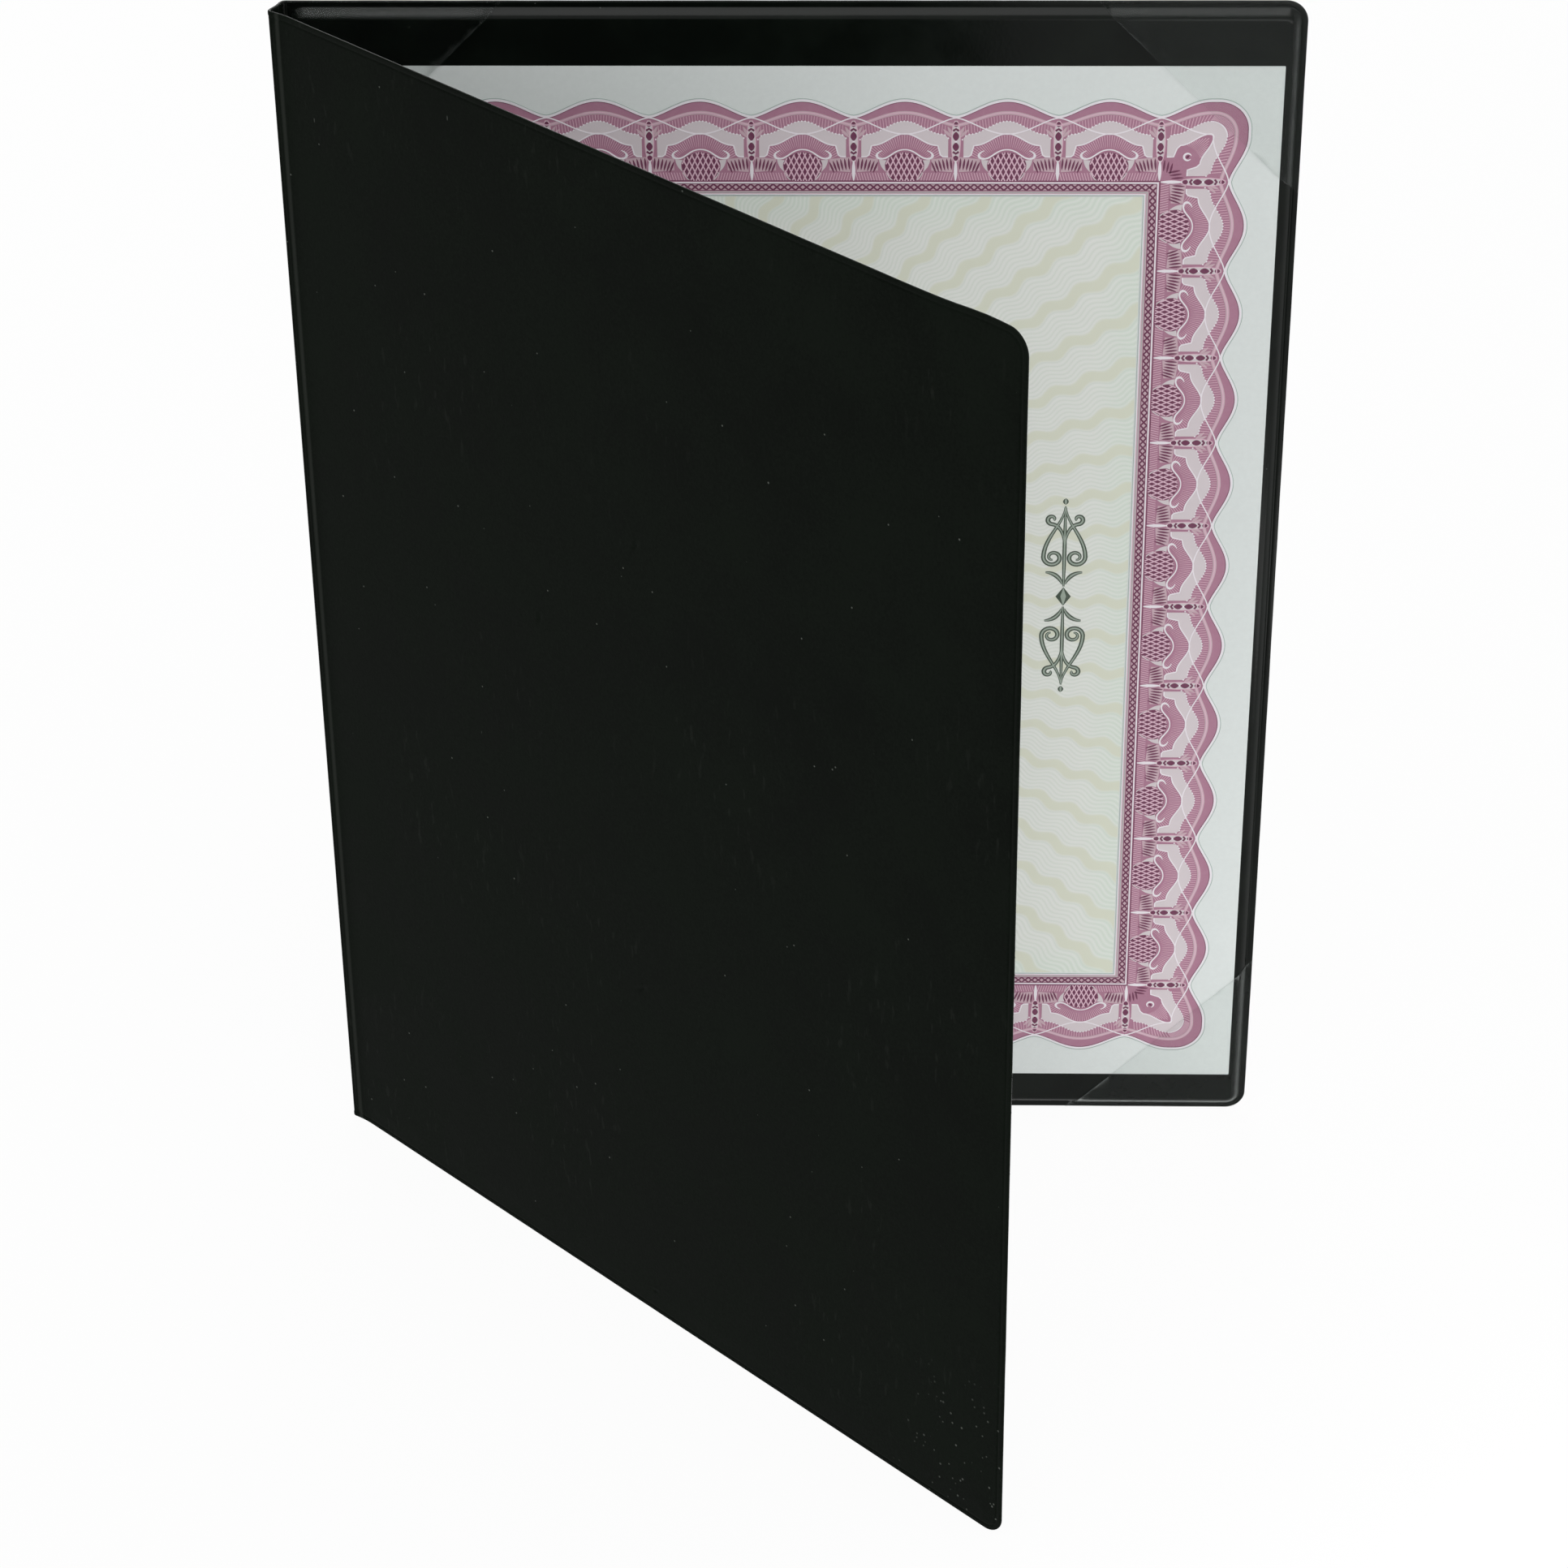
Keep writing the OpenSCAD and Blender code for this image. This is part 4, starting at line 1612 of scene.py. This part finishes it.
@dataclass
class Flourish:
    """Pen ornament in the title's place: a lozenge on a long stem with paired scrolls.

    It is the same above and below its stem, and to the left and right. Sizes are in millimetres.
    """

    weight: float = 1.15
    core: float = 0.42

    def scrolls(self) -> list[np.ndarray]:
        """Lines of the upper right quarter, from the thickest scroll to the leaf beside the lozenge."""
        large = np.concatenate([
            bend((24.4, 0.1), (20.0, 0.3), (16.2, 5.0), (10.8, 5.0))[:-1],
            curl((10.8, 2.75), (2.25, 0.65), (math.pi / 2, 3.0 * math.pi)),
        ])
        small = np.concatenate([
            bend((14.2, 0.1), (17.6, 0.2), (19.6, 1.4), (19.9, 3.1))[:-1],
            curl((21.2, 3.1), (1.3, 0.45), (math.pi, -0.7 * math.pi)),
        ])
        leaf = bend((3.4, 0.3), (5.2, 0.9), (6.6, 2.2), (6.7, 4.4))
        return [large, small, leaf]

    def strokes(self) -> list[tuple[np.ndarray, np.ndarray]]:
        """List every line of the ornament, with its width at each point as a share of the weight."""
        found = []
        for mirror in ([1.0, 1.0], [-1.0, 1.0], [1.0, -1.0], [-1.0, -1.0]):
            for line in self.scrolls():
                swell = np.sin(np.pi * np.linspace(0.05, 0.93, len(line))) ** 0.9
                found.append((line * mirror, 0.22 + 0.78 * swell))
        for side in (-1.0, 1.0):
            stem = np.linspace([side * 2.8, 0.0], [side * 24.8, 0.0], 25)
            found.append((stem, 0.25 + 0.6 * np.sin(np.pi * np.linspace(0.1, 0.95, 25))))
            bud = np.linspace([side * 25.2, 0.0], [side * 26.9, 0.0], 7)
            found.append((bud, leaf_width(7, 1.1, 0.1)))
        lozenge = np.linspace([-2.5, 0.0], [2.5, 0.0], 9)
        found.append((lozenge, 3.2 * (1.0 - np.abs(np.linspace(-0.97, 0.97, 9)))))
        return found

    def draw(self, ink: InkDrawing, width: float) -> None:
        """Draw the ornament in one ink, at a given weight, each stroke on a layer of its own."""
        for layer, (line, share) in enumerate(self.strokes()):
            ink.stroke(line, width * share, layer)


class TitleInk(Enum):
    """Stack places and colours of the flourish's two inks."""

    OUTLINE = (2, srgb(66, 80, 66))
    CORE = (4, srgb(160, 173, 160))


@dataclass
class Certificate:
    """The sheet with its printed border and its flourish."""

    low: Vector
    high: Vector
    side_inset: float = 27.15 * MM
    end_inset: float = 28.2 * MM
    window_gap: float = 0.1 * MM
    corner_r: float = 0.25 * MM
    sun_from_left: float = 47.85 * MM
    sun_rise: float = 3.2 * MM
    title_from_right: float = 46.15 * MM
    title_rise: float = 2.7 * MM
    title_fade: float = 0.06
    corner_points: int = 6

    @property
    def middle(self) -> Vector:
        """Middle of the printed face."""
        return Vector(((self.low.x + self.high.x) / 2, self.low.y, (self.low.z + self.high.z) / 2))

    def face_matrix(self, across: float = 0.0, rise: float = 0.0, turn: float = 0.0) -> Matrix:
        """Place of a drawing on the printed face, moved from its middle and turned on it."""
        stand = Matrix(((1, 0, 0, 0), (0, 0, -1, 0), (0, 1, 0, 0), (0, 0, 0, 1)))
        place = Matrix.Translation(self.middle + Vector((across, 0.0, rise)))
        return place @ stand @ Matrix.Rotation(turn, 4, "Z")

    def build_sheet(self) -> None:
        """Mesh the paper with its rounded corners."""
        half_w, half_h = (self.high.x - self.low.x) / 2, (self.high.z - self.low.z) / 2
        ring = []
        for quarter in range(4):
            for angle in np.linspace(0.0, math.pi / 2, self.corner_points):
                spin = angle + quarter * math.pi / 2
                sx = 1.0 if quarter in (0, 3) else -1.0
                sz = 1.0 if quarter in (0, 1) else -1.0
                x = self.middle.x + sx * (half_w - self.corner_r) + self.corner_r * math.cos(spin)
                z = self.middle.z + sz * (half_h - self.corner_r) + self.corner_r * math.sin(spin)
                ring.append((x, z))
        count = len(ring)
        points = np.array([(x, y, z) for y in (self.low.y, self.high.y) for x, z in ring])
        faces = [tuple(range(count)), tuple(reversed(range(count, 2 * count)))]
        faces += [(i, (i + 1) % count, (i + 1) % count + count, i + count) for i in range(count)]
        band = BorderPrint.band_w * MM + self.window_gap
        window = Vector((self.side_inset + band, 0.0, self.end_inset + band))
        paper = SheetPaper(
            centre=Vector((self.low.x + self.sun_from_left, 0.0, self.middle.z + self.sun_rise)),
            window_low=self.low + window,
            window_high=self.high - window,
        )
        sheet = make_piece("certificate_paper", points, faces, [paper.make()], smooth=False)
        finish_piece(sheet, "printed_paper", "back_panel", "certificate_sheet")

    def build_border(self) -> None:
        """Set every ink of the border round the sheet, one piece for each ink."""
        border = BorderPrint(
            rect_w=(self.high.x - self.low.x - 2 * self.side_inset) / MM,
            rect_h=(self.high.z - self.low.z - 2 * self.end_inset) / MM,
        )
        border.draw()
        places = border.places()
        tree = tile_repeater()
        for ink in Ink:
            sources = {tile: border.ink(tile, ink).mesh(f"{tile.name.lower()}_{ink.label}") for tile in Tile}
            mesh = bpy.data.meshes.new("border_places")
            mesh.from_pydata([(x * MM, y * MM, 0.0) for _, x, y, _, _ in places], [], [])
            for name, kind, column in (("tile", "INT", 0), ("turn", "FLOAT", 3), ("stretch", "FLOAT", 4)):
                values = [row[column] for row in places]
                mesh.attributes.new(name, kind, "POINT").data.foreach_set("value", values)
            base = bpy.data.objects.new("border_places", mesh)
            bpy.context.scene.collection.objects.link(base)
            finish = PrintInk(f"ink_{ink.label}", ink.value[1]).make()
            inputs = {tile.name.title(): source for tile, source in sources.items()}
            piece = tree.run(base, f"border_ink_{ink.label}", Ink=finish, **inputs)
            for source in sources.values():
                drop(source)
            self.print_on_face(piece, self.face_matrix())

    def build_title(self) -> None:
        """Print the flourish where a title would stand, reading down the sheet."""
        flourish = Flourish()
        across = self.high.x - self.title_from_right - self.middle.x
        place = self.face_matrix(across, self.title_rise, -math.pi / 2)
        for ink, width in ((TitleInk.OUTLINE, flourish.weight), (TitleInk.CORE, flourish.core)):
            level, colour = ink.value
            label = f"flourish_{ink.name.lower()}"
            drawing = InkDrawing(level)
            flourish.draw(drawing, width)
            piece = drawing.mesh(label)
            piece.data.materials.append(PrintInk(f"ink_{label}", colour, self.title_fade).make())
            self.print_on_face(piece, place)

    def print_on_face(self, piece: bpy.types.Object, place: Matrix) -> None:
        """Stand a flat drawing on the sheet's face."""
        piece.data.transform(place)
        piece.data.update()
        finish_piece(piece, "printed_paper", "back_panel")


@dataclass
class WeldFlash:
    """Crumbs of vinyl that the weld squeezed out along the cover's free edge."""

    shape: PanelShape
    place: PanelPlace
    low_v: float = 100.0 * MM
    high_v: float = 170.0 * MM
    count: int = 46
    least: float = 0.10 * MM
    most: float = 0.34 * MM
    rim_inset: float = 0.06 * MM
    strew_across: float = 0.06 * MM
    strew_along: float = 1.4 * MM
    most_turn: float = 6.2
    seed: int = 11

    def crumb(self) -> bpy.types.Object:
        """Make one crumb: a small lump with a torn tip, 1 metre across."""
        points = np.array([
            (-0.5, -0.4, -0.3), (0.4, -0.5, -0.25), (0.5, 0.45, -0.3), (-0.45, 0.5, -0.2),
            (-0.3, -0.3, 0.3), (0.35, -0.2, 0.2), (0.2, 0.35, 0.45), (-0.25, 0.2, 0.2), (0.1, 0.05, 0.85),
        ])
        faces = [(0, 1, 2, 3), (0, 1, 5, 4), (1, 2, 6, 5), (2, 3, 7, 6), (3, 0, 4, 7)]
        faces += [(4, 5, 8), (5, 6, 8), (6, 7, 8), (7, 4, 8)]
        return make_piece("crumb", points, faces, [], smooth=False)

    def tree(self) -> Repeater:
        """Build the tree that strews the crumbs along a line."""
        sockets = {
            "Crumb": "NodeSocketObject", "Count": "NodeSocketInt", "Start": "NodeSocketVector",
            "End": "NodeSocketVector", "Least": "NodeSocketFloat", "Most": "NodeSocketFloat",
            "Seed": "NodeSocketInt", "Vinyl": "NodeSocketMaterial",
        }
        tree = Repeater("weld_flash", sockets)
        given = tree.given
        line = tree.node(
            "GeometryNodeMeshLine",
            {"Count": given["Count"], "Start Location": given["Start"], "Offset": given["End"]},
            mode="END_POINTS",
        )
        reach = (self.strew_across, self.strew_across, self.strew_along)
        scatter = tree.node(
            "FunctionNodeRandomValue",
            {0: tuple(-part for part in reach), 1: reach, "Seed": given["Seed"]},
            data_type="FLOAT_VECTOR",
        )
        shifts = {"Geometry": line.outputs[0], "Offset": scatter.outputs[0]}
        moved = tree.node("GeometryNodeSetPosition", shifts)
        turn = tree.node(
            "FunctionNodeRandomValue", {0: (0.0, 0.0, 0.0), 1: (self.most_turn,) * 3, "Seed": given["Seed"]},
            data_type="FLOAT_VECTOR",
        )
        spin = tree.node("FunctionNodeEulerToRotation", {0: turn.outputs[0]})
        size = tree.node(
            "FunctionNodeRandomValue", {2: given["Least"], 3: given["Most"], "Seed": given["Seed"]},
            data_type="FLOAT",
        )
        source = tree.node("GeometryNodeObjectInfo", {0: given["Crumb"]})
        inputs = {
            "Points": moved.outputs[0], "Instance": source.outputs["Geometry"],
            "Rotation": spin.outputs[0], "Scale": size.outputs[1],
        }
        placed = tree.node("GeometryNodeInstanceOnPoints", inputs)
        tree.close(placed.outputs[0], given["Vinyl"])
        return tree

    def build(self, vinyl: bpy.types.Material) -> None:
        """Strew the crumbs along the edge and stand them on the cover."""
        rim = self.shape.panel_w - self.rim_inset
        weld = -self.shape.weld_out
        ends = self.place.put(np.array([[rim, self.low_v, weld], [rim, self.high_v, weld]]))
        crumb = self.crumb()
        base = bpy.data.objects.new("weld_flash_base", bpy.data.meshes.new("weld_flash_base"))
        bpy.context.scene.collection.objects.link(base)
        piece = self.tree().run(
            base, "front_edge_weld_flash", Crumb=crumb, Count=self.count, Start=tuple(ends[0]),
            End=tuple(ends[1]), Least=self.least, Most=self.most, Seed=self.seed, Vinyl=vinyl,
        )
        drop(crumb)
        finish_piece(piece, "black_vinyl", "front_cover")


@dataclass(frozen=True)
class SoftLamp:
    """A square or oblong soft lamp."""

    name: str
    place: Colour
    aim: Colour
    size: tuple[float, float]
    power: float

    def build(self) -> None:
        """Add the lamp to the scene."""
        light = bpy.data.lights.new(self.name, "AREA")
        light.shape = "RECTANGLE"
        light.size, light.size_y = self.size
        light.energy = self.power
        lamp = bpy.data.objects.new(self.name, light)
        lamp.location = self.place
        lamp.rotation_euler = (Vector(self.aim) - Vector(self.place)).to_track_quat("-Z", "Y").to_euler()
        lamp.visible_camera = False
        bpy.context.scene.collection.objects.link(lamp)


@dataclass
class Studio:
    """Pale floor, white background, soft lamps and the camera."""

    floor_half: float = 6.0
    floor_drop: float = 0.1 * MM
    floor_colour: Colour = (0.86, 0.86, 0.86)
    floor_glow_share: float = 0.95
    sky: float = 0.42
    lens: float = 100.0
    sensor: float = 36.0
    eye_mm: Colour = (21.8, -906.7, 683.6)
    tilt_deg: Colour = (-32.784, 0.538, 1.292)
    nearest: float = 0.01
    farthest: float = 50.0

    def lamps(self) -> tuple[SoftLamp, ...]:
        """List the soft lamps."""
        return (
            SoftLamp("overhead", (0.15, -0.55, 1.5), (0.0, -0.05, 0.1), (1.3, 0.8), 9.6),
            SoftLamp("front_fill", (0.42, -0.95, 0.12), (0.04, 0.0, 0.06), (0.6, 0.35), 1.9),
            SoftLamp("low_fill", (0.21, -0.18, 0.035), (0.085, 0.0, 0.02), (0.22, 0.05), 0.1),
            SoftLamp("back_fill", (-0.3, 1.6, 0.9), (0.0, 0.0, 0.15), (1.2, 0.8), 10.0),
        )

    def backdrop_shader(self) -> bpy.types.Material:
        """Make the floor's material: white as a background, pale where it takes light and shadow."""
        shader = Shader("floor_paper")
        shader.set(Base_Color=self.floor_colour, Roughness=0.9, Specular_IOR_Level=0.0)
        glow = shader.node("ShaderNodeEmission", {"Color": (1.0, 1.0, 1.0), "Strength": 1.0})
        share = shader.sum("MULTIPLY", shader.background_share(), self.floor_glow_share)
        layers = {0: share, 1: shader.bsdf.outputs[0], 2: glow.outputs[0]}
        mixed = shader.node("ShaderNodeMixShader", layers)
        shader.feed(mixed.outputs[0], shader.output.inputs["Surface"])
        shader.material.cycles.emission_sampling = "NONE"
        return shader.material

    def build_floor(self) -> None:
        """Lay the floor."""
        half, low = self.floor_half, -self.floor_drop
        corners = np.array([(-half, -half, low), (half, -half, low), (half, half, low), (-half, half, low)])
        mesh = bpy.data.meshes.new("floor")
        mesh.from_pydata(corners.tolist(), [], [(0, 1, 2, 3)])
        mesh.materials.append(self.backdrop_shader())
        floor = bpy.data.objects.new("floor", mesh)
        bpy.context.scene.collection.objects.link(floor)

    def build_world(self) -> None:
        """Set a white background over a plain, dimmer sky light."""
        world = bpy.data.worlds.new("studio")
        world.use_nodes = True
        wires = Wiring(world.node_tree)
        wires.tree.nodes.clear()
        strength = wires.sum("MULTIPLY_ADD", wires.background_share(), 1.0 - self.sky, self.sky)
        glow = wires.node("ShaderNodeBackground", {"Color": (1.0, 1.0, 1.0), "Strength": strength})
        wires.node("ShaderNodeOutputWorld", {"Surface": glow.outputs[0]})
        world.cycles.sampling_method = "NONE"
        bpy.context.scene.world = world

    def build_camera(self) -> None:
        """Stand the camera at the photograph's viewing angle."""
        camera = bpy.data.cameras.new("camera")
        camera.lens, camera.sensor_width = self.lens, self.sensor
        camera.clip_start, camera.clip_end = self.nearest, self.farthest
        rx, ry, rz = (math.radians(angle) for angle in self.tilt_deg)
        turn = Matrix.Rotation(rz, 3, "Z") @ Matrix.Rotation(ry, 3, "Y") @ Matrix.Rotation(rx, 3, "X")
        right, forward, up = (turn.col[i] for i in range(3))
        stand = bpy.data.objects.new("camera", camera)
        axes = Matrix((right, up, -forward)).transposed().to_4x4()
        stand.matrix_world = Matrix.Translation(Vector(self.eye_mm) * MM) @ axes
        bpy.context.scene.collection.objects.link(stand)
        bpy.context.scene.camera = stand

    def build(self) -> None:
        """Set the whole studio up."""
        self.build_floor()
        self.build_world()
        for lamp in self.lamps():
            lamp.build()
        self.build_camera()
        bpy.context.scene.view_settings.view_transform = "Standard"
        log.info("studio: floor, lamps and camera")


COVER_CREASE_U = 3.0 * MM
COVER_DENTS = (
    Dent(115.7 * MM, 215.3 * MM, 1.3 * MM, 0.55 * MM, 0.9, 0.22 * MM),
    Dent(82.6 * MM, 183.4 * MM, 1.1 * MM, 0.5 * MM, 1.2, 0.2 * MM),
    Dent(113.4 * MM, 96.3 * MM, 1.4 * MM, 0.5 * MM, 0.7, 0.2 * MM),
    Dent(114.4 * MM, 6.6 * MM, 0.9 * MM, 0.45 * MM, 0.2, 0.12 * MM),
)


def build_holder(holder: HolderFrame) -> None:
    """Build the holder's pieces in order.

    Args:
        holder: Places and sizes from the CAD model.
    """
    shape = PanelShape(holder.panel_w, holder.panel_h, holder.face_h)
    cover_shape = replace(shape, fold_bow=1.0 * MM, top_swell=0.7 * MM)
    # Place of the fold's crease, along which the cover's vinyl has a painted highlight.
    crease_out = shape.weld_out + shape.skin_t + float(cover_shape.bow(COVER_CREASE_U))
    crease = holder.front.put(np.array([[COVER_CREASE_U, 0.0, -crease_out]]))[0]
    vinyl = CoverVinyl(crease=(float(crease[0]), float(crease[1]), 0.0)).make()
    lining, board = LiningVinyl().make(), Greyboard().make()
    for panel in (
        Panel(
            "back_panel", shape, holder.back, "back_outer_vinyl", "back_lining",
            "back_outer_skin", "back_inner_skin", "back_board", seed=3.0,
        ),
        Panel(
            "front_cover", cover_shape, holder.front, "front_outer_vinyl", "front_lining",
            "front_outer_skin", "front_inner_skin", "front_board", seed=8.0, dents=COVER_DENTS,
        ),
    ):
        panel.build(vinyl, lining, board)

    spine = holder.front.fold - holder.back.fold
    for label, body, half_shape, place, way in (
        ("back", "back_panel", shape, holder.back, spine.normalized()),
        ("front", "front_cover", cover_shape, holder.front, -spine.normalized()),
    ):
        SpineHalf(label, body, half_shape, place, way, spine.length / 2).build(vinyl, lining)

    film = ClearFilm("clear_film", haze=0.001).make()
    cut_edge = ClearFilm("clear_film_edge", haze=0.35).make()
    for node, at_free_edge, at_top in (
        ("clear_corner_fold_top", False, True),
        ("clear_corner_fold_bottom", False, False),
        ("clear_corner_free_top", True, True),
        ("clear_corner_free_bottom", True, False),
    ):
        low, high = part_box(node)
        leg = high.z - low.z
        thickness = ClearCorner.film_t
        slot_h = -low.y - thickness - holder.face_h
        ClearCorner(shape, holder.back, node, at_free_edge, at_top, leg, slot_h).build(film, cut_edge)

    certificate = Certificate(*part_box("certificate_sheet"))
    certificate.build_sheet()
    certificate.build_border()
    certificate.build_title()
    WeldFlash(shape, holder.front).build(vinyl)


def main() -> None:
    """Build the studio and the holder."""
    logging.basicConfig(level=logging.INFO, format="%(name)s: %(message)s")
    Studio().build()
    build_holder(HolderFrame.read())


if __name__ == "__main__":
    main()
